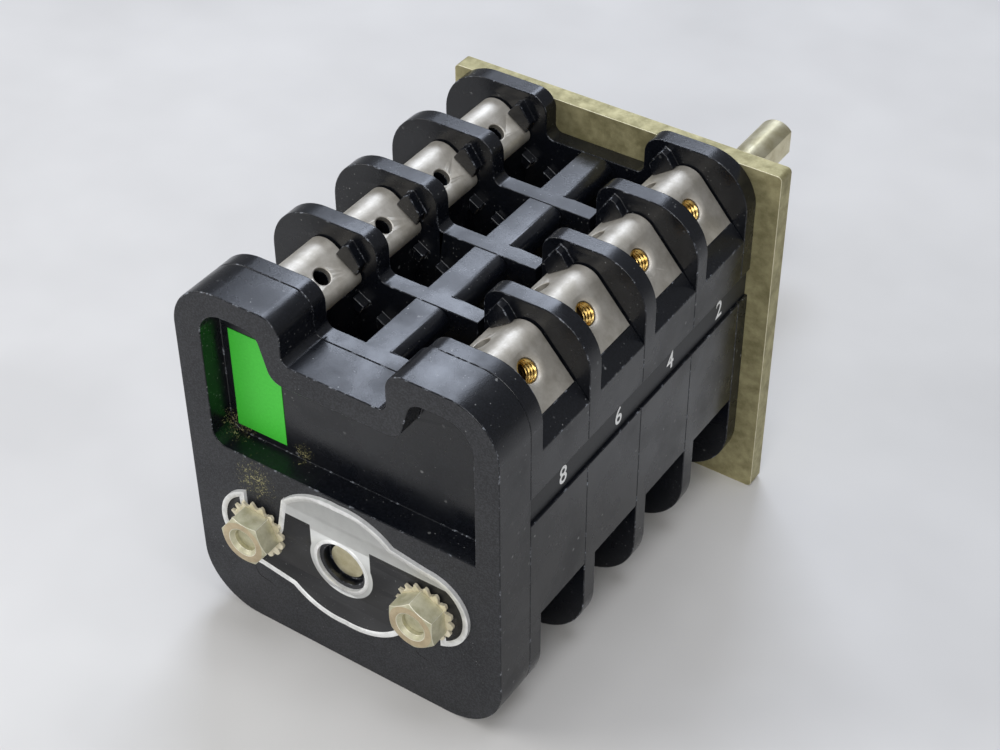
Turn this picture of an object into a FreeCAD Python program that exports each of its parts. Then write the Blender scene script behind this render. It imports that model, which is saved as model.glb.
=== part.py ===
import FreeCAD, Part
import os
import re
import Sketcher
from FreeCAD import Placement, Rotation, Vector

# Rotary cam switch: four contact stages clamped between a moulded rear cover and a steel front plate.
# The origin is on the shaft's axis at the plate's front face. +Y points along the shaft's free end,
# +Z is up. Heights with the word base are counted from the mouldings' lower edge. The ears' height is
# counted from the notch, the recess's top from the ears' top, and the label's edges from the recess's.

doc = FreeCAD.newDocument("RotaryCamSwitch")

sizes = {
    # mouldings seen from the rear
    "half_width": 35.5,
    "axis_height": 26.7,
    "base_corner": 12.5,
    "ear_height": 9.3,
    "ear_corner": 10.5,
    "ear_inner_corner": 4.0,
    "notch_height": 70.7,
    "notch_left": 10.6,
    "notch_right": 12.2,
    "notch_fillet": 1.8,
    "tab_end": 11.6,
    "slot_width": 1.3,
    "slot_depth": 9.0,
    # depths along the shaft
    "cover_depth": 9.7,
    "wall": 3.8,
    "pitch": 19.05,
    "plate_thickness": 4.2,
    # rear cover
    "recess_depth": 5.5,
    "recess_base": 43.3,
    "recess_half": 29.4,
    "recess_top": 4.8,
    "recess_under_notch": 5.3,
    "recess_offset": 0.8,
    "recess_step_left": 13.4,
    "recess_step_right": 14.6,
    "recess_step_lean": 2.9,
    "recess_corner": 5.9,
    "recess_step_corner": 3.2,
    "wheel_room_half": 14.6,
    "wheel_room_reach": 14.4,
    "wheel_room_depth": 6.4,
    # stage housing
    "box_base": 22.6,
    "cam_room_radius": 14.5,
    "trough_wall": 2.3,
    "floor_height": 48.0,
    "bed_wall": 2.4,
    "cell_outer": 31.6,
    "cell_base": 33.5,
    "curtain": 1.0,
    "curtain_base": 50.5,
    "rail_left": 2.1,
    "rail_right": 5.4,
    "rail_depth": 4.2,
    "rail_round": 2.6,
    "seat_half": 3.0,
    "seat_drop": 1.2,
    "peg_length": 2.9,
    "peg_thickness": 2.3,
    "peg_turn": 31.0,
    "peg_reach": 2.1,
    "peg_height": 66.5,
    "peg_step": 5.2,
    "peg_drop": 2.5,
    "nub_gap": 0.15,
    "nub_start": 1.3,
    "nub_right_shift": 1.1,
    "nub_length": 5.6,
    "nub_low": 2.6,
    "nub_high": 4.3,
    "nub_corner": 0.6,
    "nub_reach": 1.9,
    "groove_base": 47.9,
    "groove_height": 6.4,
    "groove_depth": 1.3,
    "strip_thickness": 0.6,
    # terminal straps
    "strap": 1.2,
    "strap_width": 14.4,
    "strap_bend": 1.0,
    "strap_ridge": 3.0,
    "foot_bend": 0.8,
    "wing_end": 32.4,
    "wing_height": 67.0,
    "wing_slope": 49.0,
    "inner_slope": 35.4,
    "inner_rise": 61.4,
    "bend_place": 13.0,
    "tuck": 3.44,
    "foot_end": 9.0,
    "thread_radius": 2.2,
    "wing_hole_radius": 2.4,
    "insert_length": 4.5,
    "plain_hole_radius": 1.8,
    "wing_hole_up": 7.3,
    "inner_hole_up": 5.6,
    "screw_room_radius": 2.7,
    # contacts, follower and cam
    "tip_radius": 1.9,
    "tip_height": 1.0,
    "tip_place": 11.2,
    "closed_gap": 0.15,
    "half_travel": 1.5,
    "bridge_half": 13.1,
    "bridge_width": 6.0,
    "bridge_thickness": 1.2,
    "guide_half": 3.7,
    "guide_gap": 0.2,
    "follower_width": 9.0,
    "nose_radius": 2.5,
    "nose_reach": 13.0,
    "nose_gap": 0.1,
    "cam_width": 8.0,
    "hub_radius": 7.4,
    "hub_gap": 0.4,
    "end_gap": 0.1,
    "spring_radius": 2.3,
    "spring_wire": 0.7,
    "spring_coils": 4.0,
    # shaft
    "square_half": 3.9,
    "square_gap": 0.04,
    "shaft_radius": 4.76,
    "shaft_reach": 79.7,
    "seat_step": 0.2,
    "seat_root": 0.5,
    "flat_depth": 1.0,
    "flat_length": 60.0,
    "journal_radius": 5.4,
    "rear_journal_radius": 3.75,
    "rear_end": 1.3,
    "running_gap": 0.06,
    # star wheel and leaf springs
    "wheel_radius": 10.3,
    "wheel_width": 5.4,
    "wheel_notch_radius": 2.2,
    "wheel_notch_place": 10.8,
    "leaf": 0.5,
    "leaf_width": 5.0,
    "leaf_half_length": 12.6,
    "leaf_gap": 0.15,
    # tie bolts, nuts, washers
    "bolt_place": 19.6,
    "bolt_radius": 2.4,
    "bolt_hole_radius": 2.6,
    "bolt_head_radius": 4.5,
    "nut_flats": 9.525,
    "nut_height": 4.3,
    "nut_bore_radius": 2.45,
    "nut_sink_radius": 3.2,
    "bolt_end_sink": 1.6,
    "washer_radius": 6.4,
    "washer_tooth_root": 5.3,
    "washer_thickness": 0.7,
    "washer_teeth": 14,
    # front plate
    "plate_left": 35.6,
    "plate_right": 40.4,
    "plate_below": 2.7,
    "plate_top": 78.0,
    "plate_corner": 1.0,
    "plate_screw_half": 23.8,
    "plate_screw_radius": 2.05,
    # nameplate and label
    "badge_thickness": 0.8,
    "badge_radius": 15.65,
    "badge_shift": 1.5,
    "badge_ear_radius": 9.1,
    "badge_ear_rise": 1.0,
    "badge_ear_place": 19.8,
    "badge_hole_radius": 5.6,
    "badge_slot_half": 4.3,
    "label_left": 27.6,
    "label_right": 16.0,
    "label_base": 1.6,
    "label_top": 7.2,
    "label_thickness": 0.12,
}

stageNames = ["8_7", "6_5", "4_3", "2_1"]
camDirections = [1, -1, -1, 1]

# Facets of a return spring: steps in a coil and sides of its wire.
springStepsPerCoil = 12
springWireSides = 6
badgeFilletRadius = 14.0
washerTurns = [7.0, 19.0]
nutTurns = [6.0, 26.0]

sheet = doc.addObject("Spreadsheet::Sheet", "Sizes")
for row, (name, value) in enumerate(sizes.items(), start=1):
    sheet.set(f"A{row}", name)
    sheet.set(f"B{row}", str(value))
    sheet.setAlias(f"B{row}", name)
doc.recompute()


def bound(text):
    """Turn the size names in a formula into references to the sheet."""
    return re.sub(r"[a-z][a-z_]*", lambda found: f"Sizes.{found[0]}" if found[0] in sizes else found[0], str(text))


def number(text):
    """Value of a formula made of size names."""
    return float(sheet.evalExpression(bound(text)))


def bind(item, path, text):
    item.setExpression(path, bound(text))


def place(item, x="0", y="0", z="0"):
    """Put a sub-part at a place given by formulas."""
    for letter, text in zip("xyz", (x, y, z)):
        bind(item, f"Placement.Base.{letter}", text)


def newBody(label):
    body = doc.addObject("PartDesign::Body", label)
    body.Label = label
    return body


def newSketch(body, label, depth="0"):
    """Sketch on the body's own plane across the shaft, moved along the shaft by a depth."""
    sketch = body.newObject("Sketcher::SketchObject", label)
    plane = [item for item in body.Origin.OriginFeatures if item.Role == "XZ_Plane"][0]
    sketch.AttachmentSupport = [(plane, "")]
    sketch.MapMode = "FlatFace"
    bind(sketch, ".AttachmentOffset.Base.z", f"-({depth})")
    return sketch


def pin(sketch, geometry, point, x, z):
    """Tie one point of a sketch to formulas for its place."""
    for kind, text in (("DistanceX", x), ("DistanceY", z)):
        index = sketch.addConstraint(Sketcher.Constraint(kind, -1, 1, geometry, point, number(text)))
        bind(sketch, f"Constraints[{index}]", text)


def addPolygon(sketch, corners):
    values = [Vector(number(x), number(z), 0) for x, z in corners]
    first = sketch.GeometryCount
    count = len(corners)
    for index in range(count):
        sketch.addGeometry(Part.LineSegment(values[index], values[(index + 1) % count]), False)
    for index in range(count):
        following = first + (index + 1) % count
        sketch.addConstraint(Sketcher.Constraint("Coincident", first + index, 2, following, 1))
        pin(sketch, first + index, 1, *corners[index])


def addCircle(sketch, x, z, radius):
    centre = Vector(number(x), number(z), 0)
    index = sketch.addGeometry(Part.Circle(centre, Vector(0, 0, 1), number(radius)), False)
    pin(sketch, index, 3, x, z)
    size = sketch.addConstraint(Sketcher.Constraint("Radius", index, number(radius)))
    bind(sketch, f"Constraints[{size}]", radius)


def rectangle(left, right, low, high):
    return [(left, low), (left, high), (right, high), (right, low)]


def pad(body, sketch, length, backwards=False):
    """Raise a sketch along +Y, or along -Y when backwards."""
    feature = body.newObject("PartDesign::Pad", sketch.Name + "Pad")
    feature.Profile = sketch
    feature.Reversed = not backwards
    bind(feature, "Length", length)
    sketch.Visibility = False
    doc.recompute()
    return feature


def pocket(body, sketch, length):
    """Cut a sketch along +Y and make sure that it removes something."""
    before = body.Tip.Shape.Volume
    feature = body.newObject("PartDesign::Pocket", sketch.Name + "Pocket")
    feature.Profile = sketch
    bind(feature, "Length", length)
    doc.recompute()
    if feature.Shape.Volume > before - 0.01:
        raise ValueError(f"{feature.Name} removes nothing")
    return feature


def roundCorners(body, label, radius, corners):
    """Fillet the edges that run along the shaft at the given corners."""
    wanted = [(number(x), number(z)) for x, z in corners]
    names = []
    base = body.Tip
    for index, edge in enumerate(base.Shape.Edges, start=1):
        ends = [vertex.Point for vertex in edge.Vertexes]
        if len(ends) != 2 or abs(ends[0].y - ends[1].y) < 0.1:
            continue
        if any(all(abs(end.x - x) < 0.01 and abs(end.z - z) < 0.01 for end in ends) for x, z in wanted):
            names.append(f"Edge{index}")
    if len(names) != len(wanted):
        raise ValueError(f"{label} finds {len(names)} edges instead of {len(wanted)}")
    feature = body.newObject("PartDesign::Fillet", label)
    feature.Base = (base, names)
    bind(feature, "Radius", radius)
    doc.recompute()
    return feature


# Places along the shaft, from the plate's front face back to the cover.
barrierY = "-(plate_thickness + wall)"
coverY = f"-(plate_thickness + wall + {len(stageNames)} * pitch + cover_depth)"


def stageY(index):
    return f"{coverY} + cover_depth + {index} * pitch"


onBase = "-axis_height"
earTop = "notch_height + ear_height"
recessTop = f"{earTop} - recess_top"
middle = "wall + (pitch - wall) / 2"


def outline(rightEdge, withSlot):
    """Corners of a moulding's outline: base, two ears and the notch between them."""
    corners = [("-half_width", "0"), ("-half_width", earTop), ("-notch_left", earTop),
               ("-notch_left", "notch_height")]
    if withSlot:
        slotEdge = "tab_end + slot_width"
        corners += [("tab_end", "notch_height"), ("tab_end", "notch_height - slot_depth"),
                    (slotEdge, "notch_height - slot_depth"), (slotEdge, earTop)]
    else:
        corners += [(rightEdge, "notch_height"), (rightEdge, earTop)]
    return corners + [("half_width", earTop), ("half_width", "0")]


def mouldingPlate(body, depth, withSlot=False):
    """Full outline of a moulding, with its corners rounded."""
    sketch = newSketch(body, body.Name + "Outline")
    rightEdge = "tab_end + slot_width" if withSlot else "notch_right"
    addPolygon(sketch, outline(rightEdge, withSlot))
    pad(body, sketch, depth)
    roundCorners(body, body.Name + "BaseCorners", "base_corner", [("-half_width", "0"), ("half_width", "0")])
    roundCorners(body, body.Name + "EarCorners", "ear_corner",
                 [("-half_width", earTop), ("half_width", earTop)])
    roundCorners(body, body.Name + "InnerCorners", "ear_inner_corner",
                 [("-notch_left", earTop), (rightEdge, earTop)])
    notch = [("-notch_left", "notch_height")] if withSlot else [("-notch_left", "notch_height"),
                                                               (rightEdge, "notch_height")]
    roundCorners(body, body.Name + "NotchCorners", "notch_fillet", notch)


def boltHoles(body, depth):
    sketch = newSketch(body, body.Name + "BoltHoles", "-end_gap")
    for side in (-1, 1):
        addCircle(sketch, f"{side} * bolt_place", "axis_height", "bolt_hole_radius")
    pocket(body, sketch, f"{depth} + 2 * end_gap")


def shaftHole(body, radius, depth):
    sketch = newSketch(body, body.Name + "ShaftHole", "-end_gap")
    addCircle(sketch, "0", "axis_height", radius)
    pocket(body, sketch, f"{depth} + 2 * end_gap")


def grooves(body, depth):
    """Grooves in both sides that hold the marker strips."""
    sketch = newSketch(body, body.Name + "Grooves", "-end_gap")
    top = "groove_base + groove_height"
    addPolygon(sketch, rectangle("-half_width - 1", "-half_width + groove_depth", "groove_base", top))
    addPolygon(sketch, rectangle("half_width - groove_depth", "half_width + 1", "groove_base", top))
    pocket(body, sketch, f"{depth} + 2 * end_gap")


bendHeight = "bend_place * tan(inner_slope) + inner_rise"


def strapCorners(side, gap, footStop):
    """Corners of a terminal strap's surface, a gap below its outer face.

    They run from the wing's end over the ridge and the inner wing to the bend, back under it by the tuck,
    down the blade and along the foot.
    """
    ridge = (f"(wing_height + wing_end * tan(wing_slope) - ({gap}) / cos(wing_slope) - inner_rise"
             f" + ({gap}) / cos(inner_slope)) / (tan(wing_slope) + tan(inner_slope))")
    onInner = f"* tan(inner_slope) + inner_rise - ({gap}) / cos(inner_slope)"
    bend = f"bend_place + ({gap}) * (sqrt(2) + 1 / cos(inner_slope)) / (1 + tan(inner_slope))"
    blade = f"bend_place + tuck + ({gap})"
    foot = f"floor_height + strap - ({gap})"
    corners = [(f"wing_end - ({gap}) * sin(wing_slope)", f"wing_height - ({gap}) * cos(wing_slope)"),
               (ridge, f"({ridge}) {onInner}"), (bend, f"({bend}) {onInner}"),
               (blade, f"{bendHeight} - tuck + ({gap}) * (sqrt(2) - 1)"), (blade, foot), (footStop, foot)]
    return [(f"{side} * ({x})", z) for x, z in corners]


bedGap = "strap + square_gap"


def boxOutline():
    """Corners of the box behind a barrier: sides, shoulders, beds of the terminals and the open room."""
    shoulder = "wing_height - (half_width - wing_end) * tan(wing_slope)"
    half = []
    for side in (1, -1):
        bed = strapCorners(side, bedGap, "0")
        step = (f"{side} * (wing_end + square_gap * cos(wing_slope))",
                "wing_height - square_gap * sin(wing_slope)")
        below = (f"{side} * (wing_end + square_gap * cos(wing_slope) - (strap + square_gap) * sin(wing_slope))",
                 "wing_height - square_gap * sin(wing_slope) - (strap + square_gap) * cos(wing_slope)")
        half.append([(f"{side} * half_width", "box_base"), (f"{side} * half_width", shoulder), step, below,
                     bed[1], bed[2], bed[3], (bed[3][0], "floor_height")])
    return half[0] + half[1][::-1]


def cellOutline(side):
    """Hollow under a terminal's bed: one wall away from the bed and open towards the next barrier."""
    inner = strapCorners(side, f"{bedGap} + bed_wall", "0")
    gap = f"({bedGap} + bed_wall)"
    nearWall = f"(bend_place + tuck + {gap})"
    return [(inner[3][0], "cell_base"),
            (inner[3][0], f"{nearWall} * tan(inner_slope) + inner_rise - {gap} / cos(inner_slope)"), inner[1],
            (f"{side} * cell_outer",
             f"wing_height + (wing_end - cell_outer) * tan(wing_slope) - {gap} / cos(wing_slope)"),
            (f"{side} * cell_outer", "cell_base")]


def curtainOutline(side):
    """Thin wall that hides a terminal's blade below its bend."""
    far = "(bend_place + tuck - square_gap)"
    near = f"({far} - curtain)"
    under = f"bend_place + {bendHeight} - 2 * square_gap"
    return [(f"{side} * {near}", "curtain_base"), (f"{side} * {near}", f"{under} - {near}"),
            (f"{side} * {far}", f"{under} - {far}"), (f"{side} * {far}", "curtain_base")]


def screwSlot(side):
    """Slot through a bed for a terminal's threaded sleeve, square to the outer wing."""
    x, z, turn, radius = screwRooms(side)[0]
    corners = []
    for across, along in ((-1, "0"), (1, "0"), (1, "bed_wall + 1"), (-1, "bed_wall + 1")):
        depth = f"({bedGap} + {along} - square_gap)" if along != "0" else "0"
        corners.append((f"{x} + {across} * {radius} * cos({turn}) - {depth} * sin({turn})",
                        f"{z} - {across} * {radius} * sin({turn}) - {depth} * cos({turn})"))
    return corners


def nubs(body):
    """Pegs and nubs that stand out of a barrier's rear face and hold the terminals before it down."""
    sketch = newSketch(body, body.Name + "Pegs")
    first = "-(bend_place + tuck - square_gap - curtain - nub_gap)"
    for x, z in ((first, "peg_height"), (f"{first} + peg_step", "peg_height - peg_drop")):
        right, low = f"{x} + peg_length * cos(peg_turn)", f"{z} - peg_length * sin(peg_turn)"
        addPolygon(sketch, [(x, z), (right, low),
                            (f"{right} - peg_thickness * sin(peg_turn)", f"{low} - peg_thickness * cos(peg_turn)"),
                            (x, f"{z} - peg_thickness / cos(peg_turn)")])
    pad(body, sketch, "peg_reach", backwards=True)
    sketch = newSketch(body, body.Name + "Nubs")
    for side, shift in ((-1, "0"), (1, "nub_right_shift")):
        start = f"bend_place + nub_start + {shift}"
        foot = f"({start}) * tan(inner_slope) + inner_rise + square_gap / cos(inner_slope)"
        # Steps along the inner wing and away from it.
        steps = [("0", "0"), ("nub_length", "0"), ("nub_length", "nub_high - 2 * nub_corner"),
                 ("(nub_length - nub_corner)", "nub_high"), ("nub_corner", "nub_low")]
        addPolygon(sketch, [(f"{side} * ({start} + {along} * cos(inner_slope) - ({away}) * sin(inner_slope))",
                             f"{foot} + {along} * sin(inner_slope) + ({away}) * cos(inner_slope)")
                            for along, away in steps])
    pad(body, sketch, "nub_reach", backwards=True)


def screwRooms(side):
    """Place, tilt and radius of the room under each of a terminal's two holes."""
    rooms = []
    wing = ("wing_end - wing_hole_up * cos(wing_slope)", "wing_height + wing_hole_up * sin(wing_slope)",
            "wing_slope", "screw_room_radius")
    inner = ("bend_place + inner_hole_up * cos(inner_slope)", f"{bendHeight} + inner_hole_up * sin(inner_slope)",
             "-inner_slope", "plain_hole_radius")
    for x, z, turn, radius in (wing, inner):
        rooms.append((f"{side} * ({x})", z, f"{side} * ({turn})", radius))
    return rooms


def tiltedCylinder(label, x, y, z, turn, radius, below, above):
    """Cylinder square to a sloped surface: it starts below the surface and ends above it."""
    item = doc.addObject("Part::Cylinder", label)
    bind(item, "Radius", radius)
    bind(item, "Height", f"{below} + {above}")
    place(item, f"{x} - ({below}) * sin({turn})", y, f"{z} - ({below}) * cos({turn})")
    item.setExpression("Placement.Rotation.Angle", bound(turn))
    item.Placement = Placement(item.Placement.Base, Rotation(Vector(0, 1, 0), number(turn)))
    doc.recompute()
    return item


def cutWith(label, base, tools):
    """Named result of cutting tools out of a base."""
    if len(tools) > 1:
        tool = doc.addObject("Part::MultiFuse", label + "_tools")
        tool.Shapes = tools
    else:
        tool = tools[0]
    result = doc.addObject("Part::Cut", label)
    result.Label = label
    result.Base = base
    result.Tool = tool
    doc.recompute()
    return result


nodes = {}


def makeRearCover():
    body = newBody("rear_cover")
    mouldingPlate(body, "cover_depth")
    sketch = newSketch(body, "CoverRecess", "-end_gap")
    left, right = "-recess_half", "recess_half + recess_offset"
    underNotch = "notch_height - recess_under_notch"
    steps = [("-recess_step_left - recess_step_lean", recessTop), ("-recess_step_left", underNotch),
             ("recess_step_right", underNotch), ("recess_step_right + recess_step_lean", recessTop)]
    addPolygon(sketch, [(left, "recess_base"), (left, recessTop)] + steps
               + [(right, recessTop), (right, "recess_base")])
    pocket(body, sketch, "recess_depth + end_gap")
    roundCorners(body, "RecessOuterCorners", "recess_corner", [(left, recessTop), (right, recessTop)])
    roundCorners(body, "RecessStepCorners", "recess_step_corner", steps + [(left, "recess_base")])
    room = newSketch(body, "WheelRoom", "cover_depth - wheel_room_depth")
    addPolygon(room, rectangle("-wheel_room_half", "wheel_room_half", "axis_height - wheel_room_reach",
                               "axis_height + wheel_room_reach"))
    pocket(body, room, "wheel_room_depth + end_gap")
    shaftHole(body, "rear_journal_radius + running_gap", "cover_depth")
    mouth = newSketch(body, "ShaftMouth", "-end_gap")
    addCircle(mouth, "0", "axis_height", "rear_journal_radius + 0.9")
    pocket(body, mouth, "rear_end + 0.6 + end_gap")
    boltHoles(body, "cover_depth")
    place(body, "0", coverY, onBase)
    nodes["rear_cover"] = body


def makeHousing(index):
    name = f"stage_housing_{stageNames[index]}"
    body = newBody(name + "_body")
    mouldingPlate(body, "wall", withSlot=True)
    box = newSketch(body, f"Box{index}", "wall - end_gap")
    addPolygon(box, boxOutline())
    pad(body, box, "pitch - wall + end_gap")
    beds = [strapCorners(side, bedGap, "0") for side in (-1, 1)]
    roundCorners(body, f"RidgeBeds{index}", "strap_ridge - square_gap", [bed[1] for bed in beds])
    roundCorners(body, f"BendBeds{index}", "strap_bend - square_gap", [bed[2] for bed in beds])
    trough = newSketch(body, f"Trough{index}", "wall - end_gap")
    addCircle(trough, "0", "axis_height", "cam_room_radius + trough_wall")
    pad(body, trough, "pitch - wall + end_gap")
    room = newSketch(body, f"CamRoom{index}", "wall")
    addCircle(room, "0", "axis_height", "cam_room_radius")
    pocket(body, room, "pitch - wall + end_gap")
    guide = newSketch(body, f"Guide{index}", "wall")
    addPolygon(guide, rectangle("-guide_half - guide_gap", "guide_half + guide_gap", "axis_height",
                                "floor_height + 1"))
    pocket(body, guide, "pitch - wall + end_gap")
    cells = newSketch(body, f"Cells{index}", "wall")
    for side in (-1, 1):
        addPolygon(cells, cellOutline(side))
    pocket(body, cells, "pitch - wall + end_gap")
    slots = newSketch(body, f"ScrewSlots{index}", "wall")
    for side in (-1, 1):
        addPolygon(slots, screwSlot(side))
    pocket(body, slots, "pitch - wall + end_gap")
    shaftHole(body, "hub_radius + hub_gap", "wall")
    boltHoles(body, "pitch")
    grooves(body, "pitch")
    rail = newSketch(body, f"Rail{index}", "wall - end_gap")
    addPolygon(rail, rectangle("-rail_left", "rail_right", "notch_height - rail_depth", "notch_height"))
    pad(body, rail, "pitch - wall + end_gap")
    roundCorners(body, f"RailRound{index}", "rail_round", [("rail_right", "notch_height")])
    curtains = newSketch(body, f"Curtains{index}", "wall - end_gap")
    for side in (-1, 1):
        addPolygon(curtains, curtainOutline(side))
    pad(body, curtains, "pitch - wall + end_gap")
    seat = newSketch(body, f"SpringSeat{index}", f"{middle} - seat_half")
    addPolygon(seat, rectangle("-seat_half", "seat_half", "notch_height - rail_depth - seat_drop",
                               "notch_height - rail_depth + seat_drop"))
    pad(body, seat, "2 * seat_half")
    if index > 0:
        nubs(body)
    rooms = []
    for side in (-1, 1):
        x, z, turn, radius = screwRooms(side)[1]
        rooms.append(tiltedCylinder(f"HoleRoom{index}_{side + 1}", x, middle, z, turn, radius,
                                    f"{bedGap} + bed_wall + 1", "0"))
    result = cutWith(name, body, rooms)
    place(result, "0", stageY(index), onBase)
    nodes[name] = result


def makeFrontBarrier():
    body = newBody("front_barrier")
    mouldingPlate(body, "wall")
    shaftHole(body, "hub_radius + hub_gap", "wall")
    boltHoles(body, "wall")
    grooves(body, "wall")
    nubs(body)
    place(body, "0", barrierY, onBase)
    nodes["front_barrier"] = body


def makeFrontPlate():
    body = newBody("front_plate")
    sketch = newSketch(body, "PlateOutline")
    addPolygon(sketch, rectangle("-plate_left", "plate_right", "-plate_below", "plate_top"))
    pad(body, sketch, "plate_thickness")
    roundCorners(body, "PlateCorners", "plate_corner",
                 [("-plate_left", "-plate_below"), ("-plate_left", "plate_top"),
                  ("plate_right", "plate_top"), ("plate_right", "-plate_below")])
    shaftHole(body, "journal_radius + running_gap", "plate_thickness")
    boltHoles(body, "plate_thickness")
    screws = newSketch(body, "PanelScrewHoles", "-end_gap")
    for side in (-1, 1):
        for up in (-1, 1):
            addCircle(screws, f"{side} * plate_screw_half", f"axis_height + {up} * plate_screw_half",
                      "plate_screw_radius")
    pocket(body, screws, "plate_thickness + 2 * end_gap")
    edges = []
    base = body.Tip
    for index, edge in enumerate(base.Shape.Edges, start=1):
        if not isinstance(edge.Curve, Part.Circle):
            continue
        onFront = abs(edge.Vertexes[0].Y - number("plate_thickness")) < 0.01
        if onFront and abs(edge.Curve.Radius - number("bolt_hole_radius")) < 0.01:
            edges.append(f"Edge{index}")
    sinks = body.newObject("PartDesign::Chamfer", "BoltHeadSinks")
    sinks.Base = (base, edges)
    bind(sinks, "Size", "bolt_head_radius - bolt_hole_radius + 0.05")
    doc.recompute()
    place(body, "0", "-plate_thickness", onBase)
    nodes["front_plate"] = body


def makeTerminal(digit):
    """Folded strap: outer wing with a screw hole, ridge, inner wing with a plain hole, blade and foot."""
    stage = stageNames.index([name for name in stageNames if str(digit) in name.split("_")][0])
    side = 1 if digit % 2 == 0 else -1
    body = newBody(f"terminal_{digit}_strap")
    sketch = newSketch(body, f"Strap{digit}")
    upper = strapCorners(side, "0", "foot_end")
    lower = strapCorners(side, "strap", "foot_end")
    addPolygon(sketch, upper + lower[::-1])
    pad(body, sketch, "strap_width")
    roundCorners(body, f"Ridge{digit}", "strap_ridge + strap", [upper[1]])
    roundCorners(body, f"RidgeInside{digit}", "strap_ridge", [lower[1]])
    roundCorners(body, f"Bend{digit}", "strap_bend + strap", [upper[2]])
    roundCorners(body, f"BendInside{digit}", "strap_bend", [lower[2]])
    roundCorners(body, f"FootBend{digit}", "foot_bend + strap", [lower[4]])
    roundCorners(body, f"FootBendInside{digit}", "foot_bend", [upper[4]])
    holes = []
    for index, (x, z, turn, radius) in enumerate(screwRooms(side)):
        size = "wing_hole_radius" if index == 0 else radius
        holes.append(tiltedCylinder(f"TerminalHole{digit}_{index}", x, "strap_width / 2", z, turn, size,
                                    "1.5 * strap", "1.5 * strap"))
    result = cutWith(f"terminal_{digit}", body, holes)
    place(result, "0", f"{stageY(stage)} + {middle} - strap_width / 2", onBase)
    nodes[f"terminal_{digit}"] = result


def makeMarkerStrip(side, name):
    strip = doc.addObject("Part::Box", name)
    strip.Label = name
    bind(strip, "Length", "strip_thickness")
    bind(strip, "Width", f"{len(stageNames)} * pitch + wall - end_gap")
    bind(strip, "Height", "groove_height - 2 * square_gap")
    left = "half_width - groove_depth" if side > 0 else "-half_width + groove_depth - strip_thickness"
    place(strip, left, f"{coverY} + cover_depth + square_gap", f"groove_base + square_gap {onBase}")
    nodes[name] = strip


def alongShaft(kind, label, x, y, z, turn=0.0):
    """Primitive whose own axis lies along the shaft, turned about it by an angle."""
    item = doc.addObject(kind, label)
    item.Placement = Placement(Vector(0, 0, 0), Rotation(Vector(1, 0, 0), -90) * Rotation(Vector(0, 0, 1), turn))
    place(item, x, y, z)
    return item


def group(name, pieces):
    """Identical fasteners kept together as one sub-part of separate solids."""
    item = doc.addObject("Part::Compound", name)
    item.Label = name
    item.Links = pieces
    doc.recompute()
    nodes[name] = item


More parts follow.
